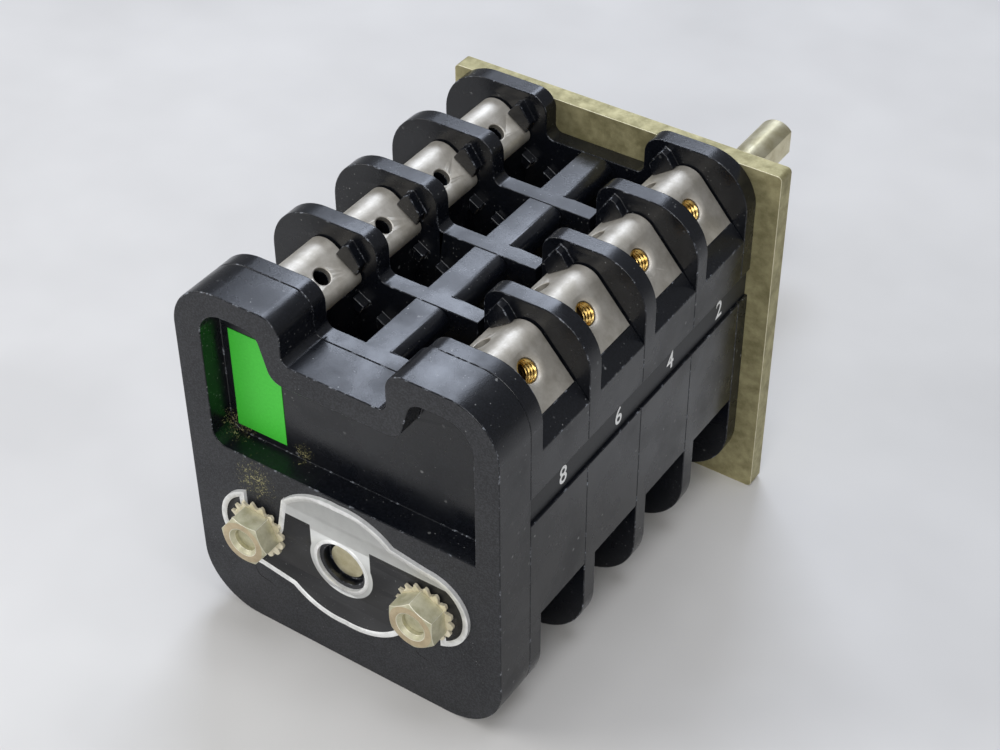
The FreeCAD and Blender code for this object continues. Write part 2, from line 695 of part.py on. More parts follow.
def makeFasteners():
    bolts, nuts, washers = [], [], []
    nutY = f"{coverY} - badge_thickness - washer_thickness - nut_height"
    for index, side in enumerate((-1, 1)):
        x = f"{side} * bolt_place"
        shank = alongShaft("Part::Cylinder", f"BoltShank{index}", x, f"{nutY} + bolt_end_sink", "0")
        bind(shank, "Radius", "bolt_radius")
        bind(shank, "Height", f"-({nutY} + bolt_end_sink)")
        head = alongShaft("Part::Cone", f"BoltHead{index}", x, "-(bolt_head_radius - bolt_radius)", "0")
        bind(head, "Radius1", "bolt_radius")
        bind(head, "Radius2", "bolt_head_radius")
        bind(head, "Height", "bolt_head_radius - bolt_radius")
        whole = doc.addObject("Part::Fuse", f"TieBolt{index}")
        whole.Base = shank
        whole.Tool = head
        slot = doc.addObject("Part::Box", f"BoltSlot{index}")
        bind(slot, "Length", "2 * bolt_head_radius + 2")
        slot.Width = 2
        slot.Height = 1.2
        place(slot, f"{x} - bolt_head_radius - 1", "-0.9", "-0.6")
        bolts.append(cutWith(f"SlottedBolt{index}", whole, [slot]))

        hexagon = alongShaft("Part::Prism", f"NutHexagon{index}", x, nutY, "0", nutTurns[index])
        hexagon.Polygon = 6
        bind(hexagon, "Circumradius", "nut_flats / 2 / cos(30)")
        bind(hexagon, "Height", "nut_height")
        crown = alongShaft("Part::Cone", f"NutCrown{index}", x, nutY, "0")
        bind(crown, "Radius1", "nut_flats * 0.49")
        bind(crown, "Radius2", "nut_flats * 0.49 + nut_height * 1.8")
        bind(crown, "Height", "nut_height")
        turned = doc.addObject("Part::Common", f"NutBlank{index}")
        turned.Base = hexagon
        turned.Tool = crown
        bore = alongShaft("Part::Cylinder", f"NutBore{index}", x, f"{nutY} - 1", "0")
        bind(bore, "Radius", "nut_bore_radius")
        bind(bore, "Height", "nut_height + 2")
        sink = alongShaft("Part::Cone", f"NutSink{index}", x, nutY, "0")
        bind(sink, "Radius1", "nut_sink_radius")
        bind(sink, "Radius2", "nut_bore_radius")
        bind(sink, "Height", "nut_sink_radius - nut_bore_radius")
        nuts.append(cutWith(f"TieNut{index}", turned, [bore, sink]))

        washer = newBody(f"Washer{index}")
        ring = newSketch(washer, f"WasherRing{index}")
        addCircle(ring, "0", "0", "washer_radius")
        addCircle(ring, "0", "0", "bolt_hole_radius")
        pad(washer, ring, "washer_thickness")
        gap = newSketch(washer, f"WasherGap{index}", "-end_gap")
        addPolygon(gap, [("-0.45", "washer_tooth_root"), ("-0.9", "washer_radius + 1"),
                         ("0.9", "washer_radius + 1"), ("0.45", "washer_tooth_root")])
        first = pocket(washer, gap, "washer_thickness + 2 * end_gap")
        pattern = washer.newObject("PartDesign::PolarPattern", f"WasherTeeth{index}")
        pattern.Originals = [first]
        pattern.Axis = (gap, ["N_Axis"])
        pattern.Angle = 360
        bind(pattern, "Occurrences", "washer_teeth")
        washer.Tip = pattern
        doc.recompute()
        washer.Placement = Placement(Vector(0, 0, 0), Rotation(Vector(0, 1, 0), washerTurns[index]))
        place(washer, x, f"{coverY} - badge_thickness - washer_thickness", "0")
        washers.append(washer)
    group("tie_bolts", bolts)
    group("tie_nuts", nuts)
    group("lock_washers", washers)


def makeNameplate():
    """Disc round the shaft's end with two hooked ears that reach under the nuts."""
    body = newBody("nameplate")
    for side in (-1, 1):
        disc = newSketch(body, f"BadgeDisc{side + 1}")
        addCircle(disc, f"{side} * badge_shift", "0", "badge_radius")
        pad(body, disc, "badge_thickness")
    ears = newSketch(body, "BadgeEars")
    for side in (-1, 1):
        addCircle(ears, f"{side} * badge_ear_place", f"{side} * badge_ear_rise", "badge_ear_radius")
    pad(body, ears, "badge_thickness")
    necks = newSketch(body, "BadgeNecks")
    near, far = "badge_radius * 0.62", "badge_ear_place"
    up = "sqrt(badge_radius * badge_radius - (badge_radius * 0.62) * (badge_radius * 0.62)) - 0.4"
    for side in (-1, 1):
        addPolygon(necks, [(f"{side} * {near}", f"{side} * ({up})"),
                           (f"{side} * {far}", f"{side} * (badge_ear_rise + badge_ear_radius)"),
                           (f"{side} * {far}", f"{side} * (badge_ear_rise - badge_ear_radius)"),
                           (f"{side} * {near}", f"-{side} * ({up})".replace("--", ""))])
    pad(body, necks, "badge_thickness")
    holes = newSketch(body, "BadgeHoles", "-end_gap")
    addCircle(holes, "0", "0", "badge_hole_radius")
    for side in (-1, 1):
        addCircle(holes, f"{side} * bolt_place", "0", "bolt_hole_radius + 0.6")
    pocket(body, holes, "badge_thickness + 2 * end_gap")
    slots = newSketch(body, "BadgeSlots", "-end_gap")
    for side in (-1, 1):
        x = f"{side} * bolt_place"
        addPolygon(slots, [(f"{x} + {side} * badge_slot_half * 0.7", f"{-side} * 2"),
                           (f"{x} + {side} * badge_slot_half * 0.7", f"{-side} * 20"),
                           (f"{x} - {side} * badge_slot_half * 1.9", f"{-side} * 20"),
                           (f"{x} - {side} * badge_slot_half * 1.1", f"{-side} * 2")])
    pocket(body, slots, "badge_thickness + 2 * end_gap")
    place(body, "0", f"{coverY} - badge_thickness", "0")
    nodes["nameplate"] = body


def makeLabel():
    label = doc.addObject("Part::Box", "inspection_label")
    label.Label = "inspection_label"
    bind(label, "Length", "label_left - label_right")
    bind(label, "Width", "label_thickness")
    bind(label, "Height", f"{recessTop} - label_top - recess_base - label_base")
    place(label, "-label_left", f"{coverY} + recess_depth - label_thickness", f"recess_base + label_base {onBase}")
    nodes["inspection_label"] = label


def makeShaft():
    """Turned journals with a square section between them for the cams.

    Beyond the plate the shaft has a round seat for the handle's hub, then a thinner end with a flat.
    """
    squareStart = f"{coverY} + cover_depth - wheel_room_depth + end_gap"
    squareEnd = barrierY
    rear = alongShaft("Part::Cylinder", "RearJournal", "0", f"{coverY} + rear_end", "0")
    bind(rear, "Radius", "rear_journal_radius")
    bind(rear, "Height", f"{squareStart} - ({coverY} + rear_end)")
    square = doc.addObject("Part::Box", "CamSquare")
    bind(square, "Length", "2 * square_half")
    bind(square, "Width", f"{squareEnd} - ({squareStart})")
    bind(square, "Height", "2 * square_half")
    place(square, "-square_half", squareStart, "-square_half")
    journal = alongShaft("Part::Cylinder", "FrontJournal", "0", squareEnd, "0")
    bind(journal, "Radius", "journal_radius")
    bind(journal, "Height", f"-({squareEnd})")
    seat = alongShaft("Part::Cylinder", "HandleSeat", "0", "-seat_root", "0")
    bind(seat, "Radius", "shaft_radius + seat_step")
    bind(seat, "Height", "shaft_reach - flat_length + seat_root")
    free = alongShaft("Part::Cylinder", "FreeEnd", "0", "0", "0")
    bind(free, "Radius", "shaft_radius")
    bind(free, "Height", "shaft_reach")
    whole = doc.addObject("Part::MultiFuse", "ShaftBlank")
    whole.Shapes = [rear, square, journal, seat, free]
    flat = doc.addObject("Part::Box", "ShaftFlat")
    bind(flat, "Length", "shaft_radius")
    bind(flat, "Width", "flat_length + 1")
    bind(flat, "Height", "2 * shaft_radius + 2")
    place(flat, "shaft_radius - flat_depth", "shaft_reach - flat_length", "-shaft_radius - 1")
    nodes["shaft"] = cutWith("shaft", whole, [flat])


def squareHole(body, depth):
    sketch = newSketch(body, body.Name + "Square", "-end_gap")
    addPolygon(sketch, rectangle("-square_half - square_gap", "square_half + square_gap",
                                 "-square_half - square_gap", "square_half + square_gap"))
    pocket(body, sketch, f"{depth} + 2 * end_gap")


def makeStarWheel():
    body = newBody("star_wheel")
    disc = newSketch(body, "WheelDisc")
    addCircle(disc, "0", "0", "wheel_radius")
    pad(body, disc, "wheel_width")
    notch = newSketch(body, "WheelNotch", "-end_gap")
    addCircle(notch, "wheel_notch_place", "0", "wheel_notch_radius")
    first = pocket(body, notch, "wheel_width + 2 * end_gap")
    pattern = body.newObject("PartDesign::PolarPattern", "WheelNotches")
    pattern.Originals = [first]
    pattern.Axis = (notch, ["N_Axis"])
    pattern.Angle = 360
    pattern.Occurrences = 8
    body.Tip = pattern
    doc.recompute()
    squareHole(body, "wheel_width")
    place(body, "0", f"{coverY} + cover_depth - wheel_width - 2 * end_gap", "0")
    nodes["star_wheel"] = body


def makeLeafSpring(side, name):
    """Bowed leaf whose middle rests in a notch of the star wheel and whose ends press on the room's wall."""
    body = newBody(name)
    seat = "wheel_notch_place - wheel_notch_radius + leaf_gap"
    wallX = "wheel_room_half - square_gap"
    inner = [(f"{wallX} - leaf", "-leaf_half_length"), (f"{wallX} - leaf", "-leaf_half_length + 2.5"),
             (f"{seat} + 2.2", "-3.2"), (seat, "0"), (f"{seat} + 2.2", "3.2"),
             (f"{wallX} - leaf", "leaf_half_length - 2.5"), (f"{wallX} - leaf", "leaf_half_length")]
    outer = [(f"{x} + leaf * 1.15" if index in (2, 3, 4) else f"{x} + leaf", z)
             for index, (x, z) in enumerate(inner)]
    sketch = newSketch(body, name + "Profile")
    addPolygon(sketch, [(f"{side} * ({x})", z) for x, z in inner + outer[::-1]])
    pad(body, sketch, "leaf_width")
    roundCorners(body, name + "Nose", "wheel_notch_radius * 0.7", [(f"{side} * ({seat})", "0")])
    place(body, "0", f"{coverY} + cover_depth - leaf_width - 2 * end_gap", "0")
    nodes[name] = body


def camOutline(direction):
    """Closed outline that lifts a round nose in proportion to the shaft's angle.

    The nose's centre follows an Archimedean spiral over the working arc and a cosine back to its start;
    the cam's edge lies one nose radius and a gap inside that curve.
    """
    rise = number("half_travel") / (FreeCAD.Units.Quantity("45 deg").getValueAs("rad").Value) * direction
    middleReach = number("nose_reach")
    working = 1.1
    count = 72

    def reach(angle):
        wrapped = (angle + 3.141592653589793) % 6.283185307179586 - 3.141592653589793
        if abs(wrapped) <= working:
            return middleReach - rise * wrapped
        share = (abs(wrapped) - working) / (3.141592653589793 - working)
        fade = (1 - share) * (1 - share) * (1 + 2 * share)
        return middleReach - rise * working * fade * (1 if wrapped > 0 else -1)

    step = 6.283185307179586 / count
    points = []
    for index in range(count):
        angle = index * step
        unit = Rotation(Vector(0, 1, 0), angle * 57.29577951308232).multVec(Vector(0, 0, 1))
        across = Rotation(Vector(0, 1, 0), angle * 57.29577951308232).multVec(Vector(1, 0, 0))
        slope = (reach(angle + 0.001) - reach(angle - 0.001)) / 0.002
        normal = (unit * reach(angle) - across * slope).normalize()
        points.append(unit * reach(angle) - normal * (number("nose_radius") + number("nose_gap")))
    curve = Part.BSplineCurve()
    curve.interpolate(Points=points, PeriodicFlag=True)
    return Part.Wire([curve.toShape()])


def makeCam(index):
    """Moulded cam: a lobe on a hub that passes through the barrier and spaces the stages."""
    name = f"cam_{stageNames[index]}"
    lobeStart = number(f"{middle} - cam_width / 2")
    lobe = Part.Face(camOutline(camDirections[index])).extrude(Vector(0, number("cam_width"), 0))
    lobe.translate(Vector(0, lobeStart, 0))
    length = number("pitch - 2 * end_gap")
    hub = Part.makeCylinder(number("hub_radius"), length, Vector(0, number("end_gap"), 0), Vector(0, 1, 0))
    half = number("square_half + square_gap")
    hole = Part.makeBox(2 * half, length + 2, 2 * half, Vector(-half, -1, -half))
    cam = doc.addObject("Part::Feature", name)
    cam.Label = name
    cam.Shape = lobe.fuse(hub).cut(hole).removeSplitter()
    place(cam, "0", stageY(index), "0")
    nodes[name] = cam


bridgeBase = "floor_height + strap + tip_height + closed_gap + half_travel + tip_height"


def makeFollower(index):
    name = f"follower_{stageNames[index]}"
    nose = alongShaft("Part::Cylinder", f"Nose{index}", "0", "-follower_width / 2", "nose_reach")
    bind(nose, "Radius", "nose_radius")
    bind(nose, "Height", "follower_width")
    stem = doc.addObject("Part::Box", f"Stem{index}")
    bind(stem, "Length", "2 * guide_half")
    bind(stem, "Width", "follower_width")
    bind(stem, "Height", f"{bridgeBase} {onBase} - nose_reach - 1.6")
    place(stem, "-guide_half", "-follower_width / 2", "nose_reach + 1.6")
    neck = doc.addObject("Part::Box", f"Neck{index}")
    bind(neck, "Length", "2 * nose_radius")
    bind(neck, "Width", "follower_width")
    neck.Height = 2.4
    place(neck, "-nose_radius", "-follower_width / 2", "nose_reach")
    follower = doc.addObject("Part::MultiFuse", name)
    follower.Label = name
    follower.Shapes = [nose, stem, neck]
    doc.recompute()
    place(follower, "0", f"{stageY(index)} + {middle}", "0")
    nodes[name] = follower


def tip(label, x, z):
    item = doc.addObject("Part::Cylinder", label)
    bind(item, "Radius", "tip_radius")
    bind(item, "Height", "tip_height")
    place(item, x, "0", z)
    return item


def makeMovingContact(index):
    """Bridging strip with a tip at each end, carried on the follower."""
    name = f"moving_contact_{stageNames[index]}"
    strip = doc.addObject("Part::Box", f"Bridge{index}")
    bind(strip, "Length", "2 * bridge_half")
    bind(strip, "Width", "bridge_width")
    bind(strip, "Height", "bridge_thickness")
    place(strip, "-bridge_half", "-bridge_width / 2", f"{bridgeBase} {onBase}")
    tips = [tip(f"MovingTip{index}_{side + 1}", f"{side} * tip_place", f"{bridgeBase} {onBase} - tip_height")
            for side in (-1, 1)]
    contact = doc.addObject("Part::MultiFuse", name)
    contact.Label = name
    contact.Shapes = [strip] + tips
    doc.recompute()
    place(contact, "0", f"{stageY(index)} + {middle}", "0")
    nodes[name] = contact


def makeFixedTips():
    pieces = []
    for index in range(len(stageNames)):
        for side in (-1, 1):
            piece = tip(f"FixedTip{index}_{side + 1}", f"{side} * tip_place", f"floor_height + strap {onBase}")
            bind(piece, "Placement.Base.y", f"{stageY(index)} + {middle}")
            pieces.append(piece)
    group("fixed_tips", pieces)


def makeReturnSpring(index):
    """Helical spring between the bridging contact and the rail: rings of points along the helix, joined by a loft."""
    name = f"return_spring_{stageNames[index]}"
    base = f"{bridgeBase} {onBase} + bridge_thickness + spring_wire / 2 + square_gap"
    top = number(f"notch_height - rail_depth - seat_drop {onBase} - spring_wire / 2 - square_gap")
    steps = int(number("spring_coils") * springStepsPerCoil)
    rise = (top - number(base)) / steps
    rings = []
    for step in range(steps + 1):
        around = Rotation(Vector(0, 0, 1), 360 * step / springStepsPerCoil)
        corners = []
        for side in range(springWireSides):
            across = Rotation(Vector(0, 1, 0), 360 * side / springWireSides)
            onWire = across.multVec(Vector(number("spring_wire") / 2, 0, 0))
            corners.append(around.multVec(Vector(number("spring_radius"), 0, 0) + onWire) + Vector(0, 0, rise * step))
        rings.append(Part.makePolygon(corners + corners[:1]))
    spring = doc.addObject("Part::Feature", name)
    spring.Label = name
    spring.Shape = Part.makeLoft(rings, True, True)
    place(spring, "0", f"{stageY(index)} + {middle}", base)
    nodes[name] = spring


def makeInserts():
    """Threaded sleeves under the outer wings of the terminals."""
    sleeves = []
    for index in range(len(stageNames)):
        for side in (-1, 1):
            x, z, turn, radius = screwRooms(side)[0]
            y = f"{stageY(index)} + {middle}"
            depth = "strap + square_gap"
            where = (x, y, f"{z} {onBase}", turn)
            body = tiltedCylinder(f"Sleeve{index}_{side + 1}", *where, f"{radius} - square_gap",
                                  f"{depth} + insert_length", f"-({depth})")
            bore = tiltedCylinder(f"SleeveBore{index}_{side + 1}", *where, "thread_radius",
                                  f"{depth} + insert_length + 1", f"-({depth}) + 1")
            sleeves.append(cutWith(f"ThreadedSleeve{index}_{side + 1}", body, [bore]))
    group("threaded_inserts", sleeves)


makeRearCover()
for stage in range(len(stageNames)):
    makeHousing(stage)
makeFrontBarrier()
makeFrontPlate()
for terminal in range(1, 9):
    makeTerminal(terminal)
makeMarkerStrip(-1, "marker_strip_left")
makeMarkerStrip(1, "marker_strip_right")
makeFasteners()
makeNameplate()
makeLabel()
makeShaft()
makeStarWheel()
makeLeafSpring(-1, "leaf_spring_left")
makeLeafSpring(1, "leaf_spring_right")
for stage in range(len(stageNames)):
    makeCam(stage)
    makeFollower(stage)
    makeMovingContact(stage)
    makeReturnSpring(stage)
makeFixedTips()
makeInserts()
doc.recompute()

for item in doc.Objects:
    if "Invalid" in item.State or "Error" in item.State:
        raise ValueError(f"{item.Name} failed: {item.State}")
os.makedirs("parts", exist_ok=True)
for name, item in nodes.items():
    shape = item.Shape
    if shape.isNull() or not shape.isValid() or not shape.Solids:
        raise ValueError(f"{name} has no valid solid")
    shape.exportStep(f"parts/{name}.step")
    print(name, len(shape.Solids), round(shape.Volume, 1))
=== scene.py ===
import math

import bmesh
import bpy
import numpy as np
from mathutils import Matrix, Vector
from mathutils.geometry import tessellate_polygon


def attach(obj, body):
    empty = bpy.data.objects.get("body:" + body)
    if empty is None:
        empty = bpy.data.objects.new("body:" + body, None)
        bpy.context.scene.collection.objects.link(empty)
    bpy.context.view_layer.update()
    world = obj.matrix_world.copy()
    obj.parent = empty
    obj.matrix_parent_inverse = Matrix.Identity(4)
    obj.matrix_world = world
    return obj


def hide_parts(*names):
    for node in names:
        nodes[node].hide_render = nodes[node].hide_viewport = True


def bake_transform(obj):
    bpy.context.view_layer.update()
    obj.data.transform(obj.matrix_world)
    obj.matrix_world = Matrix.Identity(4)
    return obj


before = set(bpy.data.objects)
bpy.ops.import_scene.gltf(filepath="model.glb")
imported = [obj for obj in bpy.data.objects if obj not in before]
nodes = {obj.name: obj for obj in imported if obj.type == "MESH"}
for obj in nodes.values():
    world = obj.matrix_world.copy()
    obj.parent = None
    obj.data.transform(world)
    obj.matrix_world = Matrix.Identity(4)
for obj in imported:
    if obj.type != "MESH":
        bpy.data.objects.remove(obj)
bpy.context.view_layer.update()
mm = 0.001

# Places shared by several pieces, in metres: the shaft's axis is x = z = 0, the plate's front face y = 0.
switch = {
    "rearFace": -93.9 * mm,
    "baseZ": -26.7 * mm,
    "coverDepth": 9.7 * mm,
    "wall": 3.8 * mm,
    "pitch": 19.05 * mm,
    "stages": ["8_7", "6_5", "4_3", "2_1"],
    "boltX": 19.6 * mm,
}


def stageMiddle(index):
    start = switch["rearFace"] + switch["coverDepth"] + index * switch["pitch"]
    return start + (switch["pitch"] + switch["wall"]) / 2


def linear(hexColor):
    # sRGB hex to the linear colour that the shaders use
    parts = [int(hexColor[i:i + 2], 16) / 255 for i in (1, 3, 5)]
    return tuple(p / 12.92 if p <= 0.04045 else ((p + 0.055) / 1.055) ** 2.4 for p in parts) + (1.0,)


def addNode(tree, kind, inputs=None, **settings):
    # a shader node with its settings, its values and its links
    node = tree.nodes.new("ShaderNode" + kind)
    for name, value in settings.items():
        setattr(node, name, value)
    for key, value in (inputs or {}).items():
        if isinstance(value, bpy.types.NodeSocket):
            tree.links.new(value, node.inputs[key])
        else:
            node.inputs[key].default_value = value
    return node


def newMaterial(name, **surface):
    material = bpy.data.materials.new(name)
    material.use_nodes = True
    tree = material.node_tree
    shader = tree.nodes["Principled BSDF"]
    for key, value in surface.items():
        shader.inputs[key.replace("_", " ")].default_value = value
    place = addNode(tree, "TexCoord").outputs["Object"]
    return material, tree, shader, place


def noiseAt(tree, place, sizeMm, detail=3.0, roughness=0.55):
    # noise whose blotches are about sizeMm across
    return addNode(tree, "TexNoise", {"Vector": place, "Scale": 1 / (sizeMm * mm), "Detail": detail,
                                      "Roughness": roughness}).outputs["Fac"]


def ramp(tree, factor, stops):
    # colour ramp from (position, colour or grey value) pairs
    node = addNode(tree, "ValToRGB", {"Fac": factor})
    band = node.color_ramp
    while len(band.elements) < len(stops):
        band.elements.new(0.5)
    for element, (position, colour) in zip(band.elements, stops):
        element.position = position
        element.color = linear(colour) if isinstance(colour, str) else (colour, colour, colour, 1)
    return node.outputs["Color"]


def mixColour(tree, factor, first, second):
    return addNode(tree, "Mix", {"Factor": factor, 6: first, 7: second}, data_type="RGBA").outputs[2]


# Phenolic resin, compression moulded: blue black with a deep skin gloss, pale dust lying in its pores,
# and a dull grain where the skin has been rubbed off, painted a lighter grey as well: part wear, part painted
# reflection.
phenolic = {
    "deep": "#07090e",
    "grey": "#12141a",
    "rubbedAndSheen": ["#1b1c1f", "#313236"],
    "worn": "#7c8087",
    "dust": ["#4d5056", "#a9a9a5"],
    "grainMm": 0.35,
    "cloudMm": 11.0,
    "speckMm": [0.7, 1.7],
    "speckShare": [0.7, 0.8],
    "raggedMm": 0.25,
    "sawdust": ["#3c3c26", "#8f8a62"],
    "chipMm": 0.4,
    "chipToneMm": 1.4,
    "scuffMm": 1.6,
    "gloss": {"rubbedAndSheen": (0.5, 0.66), "skin": (0.16, 0.4), "worn": (0.16, 0.4)},
    "relief": {"rubbedAndSheen": 0.35, "skin": 0.14, "worn": 0.14},
    "sawdustAt": [(-27.0, -88.6, 18.6, 6.5), (-20.0, -93.9, 11.5, 8.0), (-12.0, -88.6, 18.4, 4.0)],
}


def gate(tree, value, low, high):
    # 0 below low, 1 above high, smooth between
    return addNode(tree, "MapRange", {"Value": value, "From Min": low, "From Max": high},
                   interpolation_type="SMOOTHSTEP").outputs[0]


def spread(tree, value, fromRange, toRange):
    # one range carried onto another, held at its ends
    return addNode(tree, "MapRange", {"Value": value, "From Min": fromRange[0], "From Max": fromRange[1],
                                      "To Min": toRange[0], "To Max": toRange[1]}).outputs[0]


def maths(tree, operation, first, second):
    return addNode(tree, "Math", {0: first, 1: second}, operation=operation).outputs[0]


def dustSpecks(tree, place, cloud):
    # some cells of each size hold a dot, and more of them where the cloud is thick
    shares = []
    ragged = noiseAt(tree, place, phenolic["raggedMm"], 2.0, 0.5)
    for sizeMm, chosen in zip(phenolic["speckMm"], phenolic["speckShare"]):
        cells = addNode(tree, "TexVoronoi", {"Vector": place, "Scale": 1 / (sizeMm * mm), "Randomness": 1.0})
        drawn, size, _ = addNode(tree, "SeparateColor", {"Color": cells.outputs["Color"]}).outputs
        reach = maths(tree, "ADD", maths(tree, "MULTIPLY", ragged, 0.3), maths(tree, "MULTIPLY", size, 0.16))
        dot = gate(tree, maths(tree, "ADD", cells.outputs["Distance"], reach), 0.4, 0.3)
        some = gate(tree, drawn, chosen, chosen + 0.25)
        shares.append(maths(tree, "MULTIPLY", dot, some))
    thick = spread(tree, cloud, (0.4, 0.62), (0.12, 1.0))
    return maths(tree, "MULTIPLY", maths(tree, "MAXIMUM", shares[0], shares[1]), thick)


def sawdustShare(tree, place):
    # patches of chips round a few places of the rear cover
    chips = noiseAt(tree, place, phenolic["chipMm"], 2, 0.7)
    total = None
    for x, y, z, reach in phenolic["sawdustAt"]:
        middle = (x * mm, y * mm, z * mm)
        far = addNode(tree, "VectorMath", {0: place, 1: middle}, operation="DISTANCE").outputs["Value"]
        near = gate(tree, far, reach * mm, 0.2 * reach * mm)
        total = near if total is None else maths(tree, "MAXIMUM", total, near)
    limit = maths(tree, "SUBTRACT", 0.78, maths(tree, "MULTIPLY", total, 0.25))
    grains = gate(tree, maths(tree, "SUBTRACT", chips, limit), -0.02, 0.03)
    return maths(tree, "MULTIPLY", grains, gate(tree, total, 0.02, 0.2))


def phenolicMaterial(name, finish):
    material, tree, shader, place = newMaterial(name, IOR=1.5, Specular_IOR_Level=0.42)
    grain = noiseAt(tree, place, phenolic["grainMm"], 3)
    cloud = noiseAt(tree, place, phenolic["cloudMm"], 4)
    low, high = phenolic["rubbedAndSheen"] if finish == "rubbedAndSheen" else (phenolic["deep"], phenolic["grey"])
    colour = mixColour(tree, gate(tree, grain, 0.38, 0.68), linear(low), linear(high))
    if finish == "worn":
        scuff = gate(tree, noiseAt(tree, place, phenolic["scuffMm"], 6, 0.75), 0.53, 0.68)
        colour = mixColour(tree, scuff, colour, linear(phenolic["worn"]))
    pale = mixColour(tree, grain, linear(phenolic["dust"][0]), linear(phenolic["dust"][1]))
    colour = mixColour(tree, dustSpecks(tree, place, cloud), colour, pale)
    chipTone = gate(tree, noiseAt(tree, place, phenolic["chipToneMm"], 2), 0.4, 0.6)
    chipColour = mixColour(tree, chipTone, linear(phenolic["sawdust"][0]), linear(phenolic["sawdust"][1]))
    colour = mixColour(tree, sawdustShare(tree, place), colour, chipColour)
    tree.links.new(colour, shader.inputs["Base Color"])
    tree.links.new(spread(tree, cloud, (0.3, 0.7), phenolic["gloss"][finish]), shader.inputs["Roughness"])
    bump = addNode(tree, "Bump", {"Height": grain, "Strength": phenolic["relief"][finish], "Distance": 0.1 * mm})
    tree.links.new(bump.outputs[0], shader.inputs["Normal"])
    return material


phenolicSkin = phenolicMaterial("phenolicMoulded", "skin")
phenolicEdge = phenolicMaterial("phenolicWornEdge", "worn")
phenolicRubbedAndSheen = phenolicMaterial("phenolicRubbedFaceAndSheen", "rubbedAndSheen")


def metalMaterial(name, colours, roughness, grainMm, blotchMm, bumpStrength, metallic=1.0):
    # plated metal: blotches between two colours, a fine tooth in its gloss and relief;
    # where the metallic share is below one, the pale base colour shows as diffuse light: a painted reflection, on
    # chromated zinc together with a milky film
    material, tree, shader, place = newMaterial(name, Metallic=metallic)
    blotch = noiseAt(tree, place, blotchMm, 5, 0.6)
    grain = noiseAt(tree, place, grainMm, 2)
    tree.links.new(ramp(tree, blotch, [(0.35, colours[0]), (0.65, colours[1])]), shader.inputs["Base Color"])
    tree.links.new(ramp(tree, grain, [(0.3, roughness[0]), (0.7, roughness[1])]), shader.inputs["Roughness"])
    bump = addNode(tree, "Bump", {"Height": grain, "Strength": bumpStrength, "Distance": 0.05 * mm})
    tree.links.new(bump.outputs[0], shader.inputs["Normal"])
    return material


# Nickel plate on stamped copper alloy: pale warm grey, satin, faint rolling grain; kept partly non-metallic, so
# part of its pale grey is a painted reflection.
nickel = metalMaterial("nickelPlateSatin", ["#b3ada1", "#cfcac0"], (0.48, 0.62), 0.3, 4.0, 0.16, 0.85)
# Lighter copy for the rounded edges: rubbed plate, and a painted highlight along them.
nickelEdgeWearAndHighlight = metalMaterial("nickelPlateRubbedEdgeHighlight", ["#d5d1c8", "#efebe3"], (0.4, 0.5), 0.25, 2.0, 0.1, 0.85)
# Free-cutting brass, turned and tapped: yellow and bright at the mouth; further down the bore a painted shade
# turns it dark brown.
brass = metalMaterial("brassTapped", ["#b58d45", "#e3c57e"], (0.24, 0.36), 0.2, 1.6, 0.1)
brassPaintedShade = metalMaterial("brassPaintedShadeDeepInBore", ["#2a2014", "#4a3a22"], (0.5, 0.7), 0.3, 1.5, 0.2)
# Zinc plate with a pale yellow chromate: milky yellow, pinkish tan on the faced ends; kept partly non-metallic, so
# its pale tone is in part a painted reflection.
zinc = metalMaterial("zincYellowChromate", ["#b5b192", "#cecab0"], (0.45, 0.6), 0.3, 2.2, 0.25, 0.55)
# Lighter copy for the rounded edges: rubbed chromate, and a painted highlight along them.
zincEdgeWearAndHighlight = metalMaterial("zincChromateEdgeWearAndHighlight", ["#dedac4", "#f1eddd"], (0.4, 0.5), 0.3, 1.5, 0.15, 0.55)
zincFaced = metalMaterial("zincChromateFaced", ["#b3a284", "#c9b998"], (0.4, 0.52), 0.3, 2.6, 0.2, 0.6)
zincTooth = metalMaterial("zincChromateWasher", ["#d6cdb0", "#efe7cf"], (0.38, 0.5), 0.3, 1.2, 0.2, 0.5)
# Cadmium plate with an olive chromate on hot-rolled steel: mottled brown green; kept partly non-metallic, so its
# pale tone is in part a painted reflection.
olive = metalMaterial("steelOliveChromate", ["#8d8661", "#b3ab83"], (0.5, 0.66), 0.5, 3.0, 0.3, 0.6)
# Lighter copy for the rounded edges: rubbed chromate, and a painted highlight along them.
oliveEdgeWearAndHighlight = metalMaterial("steelOliveChromateEdgeWearAndHighlight", ["#cfc8a6", "#e8e2c6"], (0.46, 0.6), 0.4, 2.0, 0.2, 0.6)
# The same plate on a turned shaft: creamy.
shaftSteel = metalMaterial("turnedSteelCreamChromate", ["#c4bb98", "#ded7ba"], (0.36, 0.5), 0.3, 4.0, 0.15)
# Cold-drawn spring steel: grey with a drawn gloss.
springSteel = metalMaterial("springSteelDrawn", ["#7c7c7c", "#9b9b99"], (0.25, 0.35), 0.2, 2.0, 0.1)
# Fine silver contact button, forged: white with a grey tarnish.
silver = metalMaterial("silverContact", ["#a8a69f", "#dcdad4"], (0.22, 0.4), 0.2, 0.8, 0.15)
# Aluminium sheet, embossed: the raised rim is painted near white and kept mostly non-metallic, a painted
# highlight.
aluminiumRimPaintedHighlight = metalMaterial("aluminiumEmbossedRimPaintedHighlight", ["#dededc", "#f4f4f2"], (0.4, 0.52), 0.25, 1.6, 0.2, 0.4)


